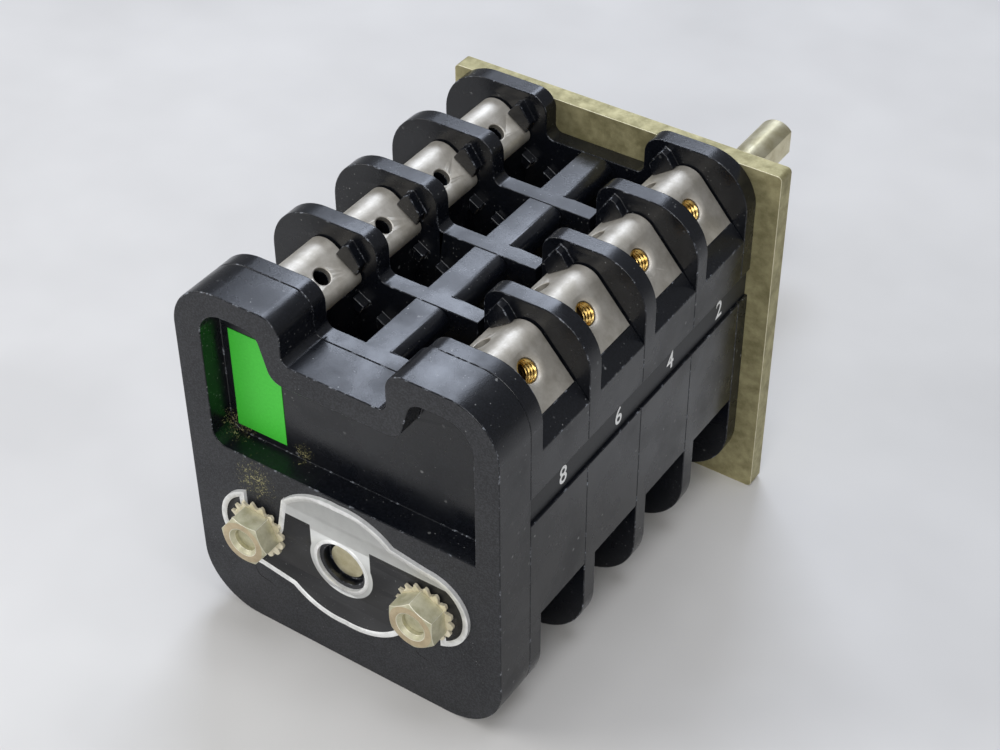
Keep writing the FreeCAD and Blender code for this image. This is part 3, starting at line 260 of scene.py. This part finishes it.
def plainMaterial(name, colours, roughness, grainMm, bumpStrength):
    # uncoated moulding, paint or paper: two close colours and a soft relief
    material, tree, shader, place = newMaterial(name)
    grain = noiseAt(tree, place, grainMm, 3)
    tree.links.new(ramp(tree, grain, [(0.35, colours[0]), (0.65, colours[1])]), shader.inputs["Base Color"])
    shader.inputs["Roughness"].default_value = roughness
    bump = addNode(tree, "Bump", {"Height": grain, "Strength": bumpStrength, "Distance": 0.05 * mm})
    tree.links.new(bump.outputs[0], shader.inputs["Normal"])
    return material


# Nylon, injection moulded: milky cream, waxy.
nylon = plainMaterial("nylonMoulded", ["#cfc9b4", "#ddd8c6"], 0.42, 0.5, 0.15)
# Vulcanised fibre strip: soft black with a dry face.
fibre = plainMaterial("vulcanisedFibreStrip", ["#101114", "#1d1f22"], 0.5, 0.6, 0.3)
# Coated label paper: saturated green, faint tooth.
labelPaper = plainMaterial("labelPaperGreen", ["#3fc234", "#45c93a"], 0.5, 0.5, 0.08)
# Enamel stamped in the strip: thick white.
whiteEnamel = plainMaterial("enamelWhite", ["#e9e9e6", "#f6f6f4"], 0.45, 0.4, 0.3)
# A crack in the moulding: no light comes out of it.
crackDark = plainMaterial("crackShadow", ["#020202", "#040404"], 0.9, 0.3, 0.1)
print("materials made")


def newPiece(name, points, faces, materials, body="base", smoothAngle=35):
    mesh = bpy.data.meshes.new(name)
    mesh.from_pydata(np.asarray(points).reshape(-1, 3).tolist(), [], np.asarray(faces).tolist()
                     if not isinstance(faces, list) else faces)
    mesh.validate()
    for material in materials:
        mesh.materials.append(material)
    mesh.polygons.foreach_set("use_smooth", [True] * len(mesh.polygons))
    mesh.update()
    mesh.set_sharp_from_angle(angle=math.radians(smoothAngle))
    piece = bpy.data.objects.new(name, mesh)
    bpy.context.scene.collection.objects.link(piece)
    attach(piece, body)
    return piece


def gridFaces(rows, columns, closeRows=False, closeColumns=False, start=0):
    # quads between neighbours of a rows x columns grid, wrapped where it is closed
    r = np.arange(rows if closeRows else rows - 1)
    c = np.arange(columns if closeColumns else columns - 1)
    r, c = [a.ravel() for a in np.meshgrid(r, c, indexing="ij")]
    rNext, cNext = (r + 1) % rows, (c + 1) % columns
    corners = [r * columns + c, r * columns + cNext, rNext * columns + cNext, rNext * columns + c]
    return np.stack(corners, 1) + start


def outwards(piece):
    # faces of a closed piece turned to point out
    shell = bmesh.new()
    shell.from_mesh(piece.data)
    bmesh.ops.recalc_face_normals(shell, faces=shell.faces)
    shell.to_mesh(piece.data)
    shell.free()


def cleanCopy(node, name):
    # a CAD node's mesh with its doubles merged and its flat faces made whole
    shell = bmesh.new()
    shell.from_mesh(nodes[node].data)
    bmesh.ops.remove_doubles(shell, verts=shell.verts, dist=0.002 * mm)
    bmesh.ops.dissolve_limit(shell, angle_limit=math.radians(0.6), verts=shell.verts,
                             edges=shell.edges, delimit={"NORMAL"})
    mesh = bpy.data.meshes.new(name)
    shell.to_mesh(mesh)
    shell.free()
    piece = bpy.data.objects.new(name, mesh)
    bpy.context.scene.collection.objects.link(piece)
    return piece


def softenEdges(piece, width, angle=32):
    # rounded edges in the piece's second material
    bevel = piece.modifiers.new("edges", "BEVEL")
    bevel.limit_method = "ANGLE"
    bevel.angle_limit = math.radians(angle)
    bevel.width = width
    bevel.segments = 2
    bevel.material = 1
    bevel.harden_normals = True
    bevel.use_clamp_overlap = True


def dressed(node, materials, width, body, name=None, angle=32):
    piece = cleanCopy(node, name or node + "Dressed")
    piece.data.materials.clear()
    for material in materials:
        piece.data.materials.append(material)
    piece.data.polygons.foreach_set("use_smooth", [True] * len(piece.data.polygons))
    piece.data.set_sharp_from_angle(angle=math.radians(angle))
    if width:
        softenEdges(piece, width, angle)
    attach(piece, body)
    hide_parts(node)
    return piece


def facesAt(piece, axis, value, slotIndex):
    # faces whose middle lies at a value of one coordinate get another of the piece's materials
    mesh = piece.data
    middles = np.empty(len(mesh.polygons) * 3)
    mesh.polygons.foreach_get("center", middles)
    chosen = np.empty(len(mesh.polygons), dtype=np.int32)
    mesh.polygons.foreach_get("material_index", chosen)
    chosen[np.abs(middles.reshape(-1, 3)[:, axis] - value) < 0.02 * mm] = slotIndex
    mesh.polygons.foreach_set("material_index", chosen)


mouldings = {"edgeRound": 0.22 * mm}
for name in ["rear_cover", "front_barrier"] + ["stage_housing_" + s for s in switch["stages"]]:
    piece = dressed(name, [phenolicSkin, phenolicEdge, phenolicRubbedAndSheen], mouldings["edgeRound"], "base")
    # the short sides of the small holes would hold every other rounding back
    piece.modifiers["edges"].use_clamp_overlap = False
    if name == "rear_cover":
        # the rear cover's outer face takes the rubbed grain, whose lighter grey is partly a painted reflection
        facesAt(piece, 1, switch["rearFace"], 2)
print("mouldings dressed")

dressed("front_plate", [olive, oliveEdgeWearAndHighlight], 0.4 * mm, "base")
dressed("shaft", [shaftSteel, shaftSteel], 0.3 * mm, "rotor")
nuts = dressed("tie_nuts", [zinc, zincEdgeWearAndHighlight, zincFaced], 0.18 * mm, "base")
facesAt(nuts, 1, switch["rearFace"] - 5.8 * mm, 2)
# Nodes that keep their own mesh and only take a material.
plain = {"tie_bolts": zinc, "star_wheel": nylon, "leaf_spring_left": springSteel, "leaf_spring_right": springSteel,
         "fixed_tips": silver, "marker_strip_left": fibre, "marker_strip_right": fibre,
         "inspection_label": labelPaper}
for stage in switch["stages"]:
    plain.update({"cam_" + stage: nylon, "follower_" + stage: nylon, "moving_contact_" + stage: brass})
for name, material in plain.items():
    nodes[name].data.materials.clear()
    nodes[name].data.materials.append(material)


def returnSpring(stage, index):
    piece = cleanCopy("return_spring_" + stage, f"returnSpring{index + 1}")
    piece.data.materials.clear()
    piece.data.materials.append(springSteel)
    piece.data.polygons.foreach_set("use_smooth", [True] * len(piece.data.polygons))
    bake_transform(piece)
    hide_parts("return_spring_" + stage)


for index, stage in enumerate(switch["stages"]):
    returnSpring(stage, index)

# Wings of the terminals: where their two holes are and how they lean.
wings = {
    "outer": {"x": 32.4 * mm, "z": 67.0 * mm, "slope": math.radians(49.0), "up": 7.3 * mm},
    "inner": {"x": 13.0 * mm, "z": (13.0 * math.tan(math.radians(35.4)) + 61.4) * mm,
              "slope": math.radians(35.4), "up": 5.6 * mm},
    "outerDish": {"mouth": 3.9 * mm, "hole": 2.3 * mm, "depth": 0.8 * mm},
    "innerDish": {"mouth": 2.1 * mm, "hole": 1.75 * mm, "depth": 0.2 * mm},
    "edgeRound": 0.14 * mm,
}


def holeFrame(side, wing, index):
    # point on the wing's face, the way out of it, up along the wing, and along the shaft
    place = wings[wing]
    lean = place["slope"]
    sign = 1 if wing == "outer" else -1
    along = Vector((-sign * side * math.cos(lean), 0, math.sin(lean)))
    out = Vector((sign * side * math.sin(lean), 0, math.cos(lean)))
    start = Vector((side * place["x"], stageMiddle(index), place["z"] + switch["baseZ"]))
    return start + along * place["up"], out, along, Vector((0, 1, 0))


def lathe(name, profile, origin, out, across, along, count=48):
    # profile of (radius, height) pairs turned about the direction out, closed at both ends by its poles
    angle = np.linspace(0, 2 * math.pi, count, endpoint=False)
    radius, height = np.array(profile).T
    around = np.outer(np.cos(angle), across) + np.outer(np.sin(angle), along)
    points = np.array(origin) + radius[:, None, None] * around[None] + height[:, None, None] * np.array(out)
    return points, gridFaces(len(profile), count, closeColumns=True)


def dishCutter(side, wing, index):
    # rolled-over edge of a drawn hole: a quarter ellipse from the face down to the hole
    dish = wings[wing + "Dish"]
    origin, out, along, across = holeFrame(side, wing, index)
    turn = np.linspace(0, math.pi / 2, 8)
    reach = dish["mouth"] - dish["hole"]
    radius = dish["mouth"] - reach * np.sin(turn)
    height = -dish["depth"] * (1 - np.cos(turn))
    profile = [(1e-5, 1 * mm), (dish["mouth"], 1 * mm)] + list(zip(radius, height)) + [
        (dish["hole"], -2.2 * mm), (1e-5, -2.2 * mm)]
    points, faces = lathe("dish", profile, origin, out, across, along)
    mesh = bpy.data.meshes.new("dish")
    mesh.from_pydata(points.reshape(-1, 3).tolist(), [], faces.tolist())
    shell = bmesh.new()
    shell.from_mesh(mesh)
    bmesh.ops.remove_doubles(shell, verts=shell.verts, dist=0.03 * mm)
    bmesh.ops.holes_fill(shell, edges=shell.edges)
    bmesh.ops.recalc_face_normals(shell, faces=shell.faces)
    shell.to_mesh(mesh)
    shell.free()
    cutter = bpy.data.objects.new("dish", mesh)
    bpy.context.scene.collection.objects.link(cutter)
    return cutter


def terminalPiece(number):
    index = [k for k, s in enumerate(switch["stages"]) if str(number) in s.split("_")][0]
    side = 1 if number % 2 == 0 else -1
    name = f"terminal_{number}"
    piece = cleanCopy(name, f"terminal{number}Strap")
    cutters = [dishCutter(side, wing, index) for wing in ("outer", "inner")]
    for cutter in cutters:
        cut = piece.modifiers.new("dish", "BOOLEAN")
        cut.operation = "DIFFERENCE"
        cut.solver = "EXACT"
        cut.object = cutter
    bpy.context.view_layer.update()
    whole = bpy.data.meshes.new_from_object(piece.evaluated_get(bpy.context.evaluated_depsgraph_get()))
    piece.modifiers.clear()
    piece.data = whole
    for cutter in cutters:
        bpy.data.objects.remove(cutter)
    whole.materials.clear()
    whole.materials.append(nickel)
    whole.materials.append(nickelEdgeWearAndHighlight)
    whole.polygons.foreach_set("material_index", [0] * len(whole.polygons))
    whole.polygons.foreach_set("use_smooth", [True] * len(whole.polygons))
    whole.set_sharp_from_angle(angle=math.radians(32))
    softenEdges(piece, wings["edgeRound"], 34)
    weighted = piece.modifiers.new("flat faces", "WEIGHTED_NORMAL")
    weighted.keep_sharp = True
    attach(piece, "base")
    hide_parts(name)


for number in range(1, 9):
    terminalPiece(number)
print("terminals dished")

# Tapped sleeves under the outer wings: the bore is a helical V thread.
sleeve = {"outerR": 2.62 * mm, "boreR": 2.28 * mm, "threadDepth": 0.36 * mm, "threadPitch": 0.79 * mm,
          "top": -0.75 * mm, "length": 4.8 * mm, "bright": 2.6 * mm, "around": 40, "perPitch": 8}


def threadedTube(origin, out, across, along, outerR, boreR, depth, pitch, top, length, around, perPitch):
    # inner wall radius = bore - depth * |saw|, where the saw runs once for each pitch and each turn
    rows = int(length / pitch * perPitch) + 1
    angle = np.linspace(0, 2 * math.pi, around, endpoint=False)
    height = top - np.linspace(0, length, rows)
    phase = (height[:, None] / pitch + angle[None] / (2 * math.pi)) % 1.0
    inner = boreR - depth * (1 - np.abs(2 * phase - 1))
    outer = np.full((2, around), outerR)
    radius = np.concatenate([inner, outer])
    level = np.concatenate([np.repeat(height[:, None], around, 1), np.full((1, around), height[-1]),
                            np.full((1, around), height[0])])
    ring = np.outer(np.cos(angle), across) + np.outer(np.sin(angle), along)
    points = np.array(origin) + radius[..., None] * ring[None] + level[..., None] * np.array(out)
    return points.reshape(-1, 3), gridFaces(rows + 2, around, True, True)


def joined(parts):
    # several point and face arrays as one
    points, faces, count = [], [], 0
    for somePoints, someFaces in parts:
        points.append(somePoints)
        faces += (np.asarray(someFaces) + count).tolist()
        count += len(somePoints)
    return np.concatenate(points), faces


tubes, deep = [], []
for index in range(len(switch["stages"])):
    for side in (-1, 1):
        origin, out, along, across = holeFrame(side, "outer", index)
        tube = threadedTube(origin, out, across, along, sleeve["outerR"] - 0.35 * mm, sleeve["boreR"],
                            sleeve["threadDepth"], sleeve["threadPitch"], sleeve["top"], sleeve["length"],
                            sleeve["around"], sleeve["perPitch"])
        tubes.append(tube)
        height = (tube[0] - np.array(origin)) @ np.array(out)
        # faces deeper than the bright length take the dark brown painted shade
        deep.append(height[tube[1]].mean(1) < sleeve["top"] - sleeve["bright"])
points, faces = joined(tubes)
sleeves = newPiece("threadedSleeves", points, faces, [brass, brassPaintedShade], smoothAngle=60)
sleeves.data.polygons.foreach_set("material_index", np.concatenate(deep).astype(np.int32))
outwards(sleeves)
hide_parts("threaded_inserts")
print("sleeves tapped")

# Toothed lock washers: flat ring, teeth twisted about their own middle line.
washer = {"innerR": 2.7 * mm, "rootR": 5.5 * mm, "tipR": 6.4 * mm, "teeth": 16, "twist": 0.42 * mm,
          "thick": 0.6 * mm, "perTooth": 12, "rings": 10, "flank": 3.4, "gap": 0.35, "bend": 0.6 * mm,
          "middle": 1.15 * mm, "turned": {1: 0.1, -1: 0.3}}


def toothedWasher(side):
    # grid of angle and reach; in a gap the reach stops at the root, on a tooth the height follows the twist
    count = washer["teeth"] * washer["perTooth"]
    angle = np.linspace(0, 2 * math.pi, count, endpoint=False) + washer["turned"][side]
    step = (np.arange(count) % washer["perTooth"]) / washer["perTooth"]
    onTooth = np.clip(washer["flank"] * (0.5 - np.abs(step - 0.5)) - washer["gap"], 0, 1)
    onTooth = onTooth * onTooth * (3 - 2 * onTooth)
    reach = np.linspace(0, 1, washer["rings"])
    edge = washer["rootR"] + (washer["tipR"] - washer["rootR"]) * onTooth
    radius = washer["innerR"] + (edge - washer["innerR"])[None] * reach[:, None]
    bend = washer["rootR"] - washer["bend"]
    beyond = np.clip((radius - bend) / (washer["tipR"] - bend), 0, 1)
    lift = washer["twist"] * beyond * ((step - 0.5) * 2)[None]
    middleY = switch["rearFace"] - washer["middle"]
    x = side * switch["boltX"] + radius * np.cos(angle)[None]
    z = radius * np.sin(angle)[None]
    layers = []
    for half in (-0.5, 0.5):
        layers.append(np.stack([x, middleY + lift + half * washer["thick"], z], -1))
    rows = washer["rings"]
    grid = np.concatenate([layers[0], layers[1][::-1]])
    return grid.reshape(-1, 3), gridFaces(2 * rows, count, True, True)


points, faces = joined([toothedWasher(side) for side in (-1, 1)])
washers = newPiece("toothedLockWashers", points, faces, [zincTooth], smoothAngle=50)
outwards(washers)
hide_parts("lock_washers")
print("washers toothed")

# Nameplate: printed aluminium sheet with an embossed rim along every edge and a silver ring round the shaft.
badge = {"thick": 0.8 * mm, "rim": 1.15 * mm, "sunk": 0.18 * mm, "spacing": 0.3 * mm, "holeR": 5.6 * mm,
         "lip": 0.75 * mm, "lipSteps": 64, "fieldTop": 7.4 * mm, "neckHalf": 6.9 * mm, "ringR": 7.3 * mm,
         "printEdge": 0.05 * mm, "print": "#19191b", "field": ["#c6c7c5", "#dddedb"]}


def badgeMaterial():
    # black print leaves the metal bare above fieldTop, down a neck to the ring, and round the ring
    material, tree, shader, place = newMaterial("aluminiumPrintedSheet")
    x, _, z = addNode(tree, "SeparateXYZ", {"Vector": place}).outputs
    onPlate = addNode(tree, "CombineXYZ", {"X": x, "Z": z}).outputs[0]
    reach = addNode(tree, "VectorMath", {0: onPlate}, operation="LENGTH")
    soft = badge["printEdge"]
    above = gate(tree, z, badge["fieldTop"] - soft, badge["fieldTop"] + soft)
    aside = maths(tree, "ABSOLUTE", x, 0.0)
    across = gate(tree, aside, badge["neckHalf"] + soft, badge["neckHalf"] - soft)
    neck = maths(tree, "MULTIPLY", across, gate(tree, z, -soft, soft))
    ring = gate(tree, reach.outputs["Value"], badge["ringR"] + soft, badge["ringR"] - soft)
    bare = maths(tree, "MAXIMUM", above, maths(tree, "MAXIMUM", neck, ring))
    # pinholes and rubs in the print
    rubs = gate(tree, noiseAt(tree, place, 0.5, 4, 0.75), 0.66, 0.7)
    bare = maths(tree, "MAXIMUM", bare, maths(tree, "MULTIPLY", rubs, 0.7))
    # the bare sheet is pale grey and almost non-metallic: a painted reflection of the light on the aluminium
    sheetPaintedReflection = mixColour(tree, noiseAt(tree, place, 2.2, 4), linear(badge["field"][0]), linear(badge["field"][1]))
    tree.links.new(mixColour(tree, bare, linear(badge["print"]), sheetPaintedReflection), shader.inputs["Base Color"])
    tree.links.new(maths(tree, "MULTIPLY", bare, 0.15), shader.inputs["Metallic"])
    tree.links.new(maths(tree, "SUBTRACT", 0.56, maths(tree, "MULTIPLY", bare, 0.1)), shader.inputs["Roughness"])
    tooth = noiseAt(tree, place, 0.3, 2)
    bump = addNode(tree, "Bump", {"Height": tooth, "Strength": 0.15, "Distance": 0.04 * mm})
    tree.links.new(bump.outputs[0], shader.inputs["Normal"])
    return material


def edgeLoops(shell, chosen):
    # ordered corner positions of each closed border of the chosen faces
    after = {}
    for face in chosen:
        for loop in face.loops:
            if loop.link_loop_radial_next.face not in chosen:
                after[loop.vert] = loop.link_loop_next.vert
    loops = []
    while after:
        vert, following = after.popitem()
        chain = [vert]
        while following is not chain[0]:
            chain.append(following)
            following = after.pop(following)
        loops.append(np.array([(v.co.x, v.co.z) for v in chain]))
    return sorted(loops, key=lambda loop: -np.ptp(loop, axis=0).prod())


def stepped(loop, spacing):
    # the loop with extra points along its long sides
    points = []
    for first, second in zip(loop, np.roll(loop, -1, 0)):
        count = max(1, int(np.linalg.norm(second - first) / spacing))
        points += [first + (second - first) * k / count for k in range(count)]
    return np.array(points)


def insideOffset(loop, width):
    # points moved inwards along their normals; those that come nearer to the border than the width are left out
    fine = stepped(loop, badge["spacing"])
    tangent = np.roll(fine, -1, 0) - np.roll(fine, 1, 0)
    normal = np.stack([-tangent[:, 1], tangent[:, 0]], 1) / np.linalg.norm(tangent, axis=1)[:, None]
    area = np.sum(fine[:, 0] * np.roll(fine[:, 1], -1) - fine[:, 1] * np.roll(fine[:, 0], -1))
    moved = fine + normal * width * np.sign(area)
    nearest = np.linalg.norm(moved[:, None] - fine[None], axis=2).min(1)
    return moved[nearest > 0.985 * width]


def plateFaces(outline, holes, y):
    # triangles of a flat region with holes, at a height y
    loops = [[Vector((x, y, z)) for x, z in loop] for loop in [outline] + holes]
    points = [tuple(v) for loop in loops for v in loop]
    return np.array(points), tessellate_polygon(loops)


def wallFaces(loop, fromY, toY):
    # upright strip round a loop
    count = len(loop)
    points = np.concatenate([np.insert(loop, 1, y, axis=1) for y in (fromY, toY)])
    return points, gridFaces(2, count, closeColumns=True).tolist()


# The CAD plate's front is taken off; a rim, a step and a sunk field take its place.
nameplate = cleanCopy("nameplate", "nameplateEmbossed")
shell = bmesh.new()
shell.from_mesh(nameplate.data)
faceY = switch["rearFace"] - badge["thick"]
front = {face for face in shell.faces if abs(face.calc_center_median().y - faceY) < 0.02 * mm}
border, *others = edgeLoops(shell, front)
bmesh.ops.delete(shell, geom=list(front), context="FACES_ONLY")
turn = np.linspace(0, 2 * math.pi, badge["lipSteps"], endpoint=False)
lip = np.stack([np.cos(turn), np.sin(turn)], 1) * (badge["holeR"] + badge["lip"])
inner = insideOffset(border, badge["rim"])
fieldY = faceY + badge["sunk"]
rimParts = joined([plateFaces(border, [inner], faceY), plateFaces(lip, others, faceY),
                   wallFaces(inner, faceY, fieldY), wallFaces(lip, faceY, fieldY)])
fieldParts = plateFaces(inner, [lip], fieldY)
for (points, faces), slotIndex in ((rimParts, 1), (fieldParts, 0)):
    corners = [shell.verts.new(point) for point in points]
    for face in faces:
        if len({corners[k] for k in face}) == len(face):
            shell.faces.new([corners[k] for k in face]).material_index = slotIndex + 2
bmesh.ops.remove_doubles(shell, verts=shell.verts, dist=0.004 * mm)
bmesh.ops.recalc_face_normals(shell, faces=shell.faces)
for face in shell.faces:
    face.material_index = face.material_index - 2 if face.material_index >= 2 else 1
nameplate.data.materials.clear()
nameplate.data.materials.append(badgeMaterial())
nameplate.data.materials.append(aluminiumRimPaintedHighlight)
shell.to_mesh(nameplate.data)
shell.free()
nameplate.data.polygons.foreach_set("use_smooth", [True] * len(nameplate.data.polygons))
nameplate.data.set_sharp_from_angle(angle=math.radians(40))
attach(nameplate, "base")
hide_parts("nameplate")
print("nameplate embossed")

# Two hairline cracks in the rear cover below the bolts, from the washers towards the lower corners.
cracks = {"paths": [[(-22.6, 14.1), (-22.0, 12.7), (-21.3, 11.9), (-19.4, 11.5), (-17.8, 11.1)],
                    [(16.0, 13.0), (16.9, 12.3), (18.1, 12.0), (19.3, 11.7)]],
          "width": 0.16 * mm, "proud": 0.012 * mm, "steps": 40, "wander": 0.09 * mm}


def crackRibbon(path, seed):
    # ribbon along the path, each of its points pushed aside by seeded noise, tapering to its ends
    random = np.random.default_rng(seed)
    corners = np.array(path) * mm
    length = np.concatenate([[0], np.cumsum(np.linalg.norm(np.diff(corners, axis=0), axis=1))])
    share = np.linspace(0, length[-1], cracks["steps"])
    line = np.stack([np.interp(share, length, corners[:, k]) for k in (0, 1)], 1)
    line += random.normal(0, cracks["wander"], line.shape)
    along = np.gradient(line, axis=0)
    aside = np.stack([-along[:, 1], along[:, 0]], 1) / np.linalg.norm(along, axis=1)[:, None]
    half = cracks["width"] / 2 * np.sin(np.linspace(0.08, 0.92, cracks["steps"]) * math.pi)[:, None]
    left, right = line + aside * half, line - aside * half
    proud, deep = switch["rearFace"] - cracks["proud"], switch["rearFace"] + 0.1 * mm
    ring = [np.stack([edge[:, 0], np.full(len(edge), y), edge[:, 1] + switch["baseZ"]], 1)
            for edge, y in ((left, proud), (right, proud), (right, deep), (left, deep))]
    grid = np.stack(ring, 1)
    faces = gridFaces(cracks["steps"], 4, closeColumns=True).tolist()
    last = (cracks["steps"] - 1) * 4
    return grid.reshape(-1, 3), faces + [[0, 1, 2, 3], [last + 3, last + 2, last + 1, last]]


points, faces = joined([crackRibbon(path, 5 + k) for k, path in enumerate(cracks["paths"])])
hairlines = newPiece("hairlineCracks", points, faces, [crackDark])
outwards(hairlines)

# Digits stamped on the marker strips.
digits = {"height": 4.1 * mm, "fromRear": [21.3, 40.4, 59.4, 78.5], "z": 24.6 * mm, "face": 34.8 * mm,
          "thick": 0.05 * mm, "bold": 0.012, "narrowed": 0.92}


def digitPiece(number, index, side):
    text = bpy.data.curves.new(f"digit{number}", "FONT")
    text.body = str(number)
    text.align_x, text.align_y = "CENTER", "CENTER"
    text.size = 1.0
    text.offset = digits["bold"]
    text.resolution_u = 6
    holder = bpy.data.objects.new(f"digit{number}Text", text)
    bpy.context.scene.collection.objects.link(holder)
    bpy.context.view_layer.update()
    mesh = bpy.data.meshes.new_from_object(holder.evaluated_get(bpy.context.evaluated_depsgraph_get()))
    bpy.data.objects.remove(holder)
    count = len(mesh.vertices)
    flat = np.zeros(count * 3)
    mesh.vertices.foreach_get("co", flat)
    flat = flat.reshape(-1, 3)
    flat[:, :2] -= (flat[:, :2].min(0) + flat[:, :2].max(0)) / 2
    scale = digits["height"] / np.ptp(flat[:, 1])
    y = switch["rearFace"] + digits["fromRear"][index] * mm + side * flat[:, 0] * scale * digits["narrowed"]
    z = digits["z"] + flat[:, 1] * scale
    x = np.full(count, side * (digits["face"] + digits["thick"]))
    mesh.vertices.foreach_set("co", np.stack([x, y, z], 1).ravel())
    piece = bpy.data.objects.new(f"digit{number}", mesh)
    mesh.materials.clear()
    mesh.materials.append(whiteEnamel)
    bpy.context.scene.collection.objects.link(piece)
    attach(piece, "base")


for index, pair in enumerate(switch["stages"]):
    right, left = pair.split("_")
    digitPiece(int(right), index, 1)
    digitPiece(int(left), index, -1)
print("digits stamped")

# Camera where the photograph was taken, lens in the same proportion.
view = {"position": (170.64, -293.37, 266.63), "target": (-28.46, 1.08, -33.49), "roll": math.radians(-0.42),
        "lens": 71.31}
forward = (Vector(view["target"]) - Vector(view["position"])).normalized()
level = forward.cross(Vector((0, 0, 1))).normalized()
upright = level.cross(forward)
right = level * math.cos(view["roll"]) + upright * math.sin(view["roll"])
up = upright * math.cos(view["roll"]) - level * math.sin(view["roll"])
camera = bpy.data.objects.new("camera", bpy.data.cameras.new("camera"))
bpy.context.scene.collection.objects.link(camera)
camera.data.lens = view["lens"]
camera.data.sensor_width = 36
camera.data.clip_start, camera.data.clip_end = 0.01, 20
turn = Matrix((right, up, -forward)).transposed()
camera.matrix_world = Matrix.Translation(Vector(view["position"]) * mm) @ turn.to_4x4()
bpy.context.scene.camera = camera

# Floor under the plate's lower edge and the rear cover's base.
floor = {"frontY": -4.2 * mm, "frontZ": -29.4 * mm, "rearY": switch["rearFace"], "rearZ": switch["baseZ"],
         "reach": 2.5, "colours": ["#c9c7c4", "#d4d2cf"], "blotchMm": 60}
slope = (floor["frontZ"] - floor["rearZ"]) / (floor["frontY"] - floor["rearY"])
reach = np.linspace(-floor["reach"], floor["reach"], 9)
x, y = np.meshgrid(reach, reach)
z = floor["frontZ"] + (y - floor["frontY"]) * slope - 0.02 * mm
floorMesh = bpy.data.meshes.new("floor")
floorMesh.from_pydata(np.stack([x, y, z], -1).reshape(-1, 3).tolist(), [], gridFaces(9, 9).tolist())
floorPiece = bpy.data.objects.new("floor", floorMesh)
bpy.context.scene.collection.objects.link(floorPiece)
material, tree, shader, place = newMaterial("floorPaintedBoard", Roughness=0.55)
blotches = noiseAt(tree, place, floor["blotchMm"], 3)
tree.links.new(ramp(tree, blotches, [(0.3, floor["colours"][0]), (0.7, floor["colours"][1])]),
               shader.inputs["Base Color"])
floorMesh.materials.append(material)


def softBox(name, position, target, size, power, colour="#ffffff"):
    lamp = bpy.data.objects.new(name, bpy.data.lights.new(name, "AREA"))
    lamp.data.shape = "RECTANGLE"
    lamp.data.size, lamp.data.size_y = size
    lamp.data.energy = power
    lamp.data.color = linear(colour)[:3]
    lamp.location = position
    lamp.rotation_mode = "QUATERNION"
    lamp.rotation_quaternion = (Vector(target) - Vector(position)).to_track_quat("-Z", "Y")
    bpy.context.scene.collection.objects.link(lamp)


softBox("backSoftBox", (-0.3, 0.48, 0.66), (0, -0.04, 0), (0.36, 0.3), 3.2, "#e2ecff")
softBox("topSoftBox", (0.1, -0.02, 0.85), (0, -0.04, 0), (0.3, 0.5), 2.6, "#f2f6ff")
softBox("leftSoftBox", (-0.7, -0.45, 0.45), (0, -0.05, 0), (0.5, 0.5), 3.4)
softBox("frontSoftBox", (0.35, -0.75, 0.6), (0, -0.05, 0), (0.5, 0.5), 4.4)
world = bpy.data.worlds.new("studio")
bpy.context.scene.world = world
world.use_nodes = True
background = world.node_tree.nodes["Background"]
background.inputs["Color"].default_value = linear("#eef0f4")
background.inputs["Strength"].default_value = 0.3
bpy.context.scene.view_settings.view_transform = "Standard"

print("scene ready")
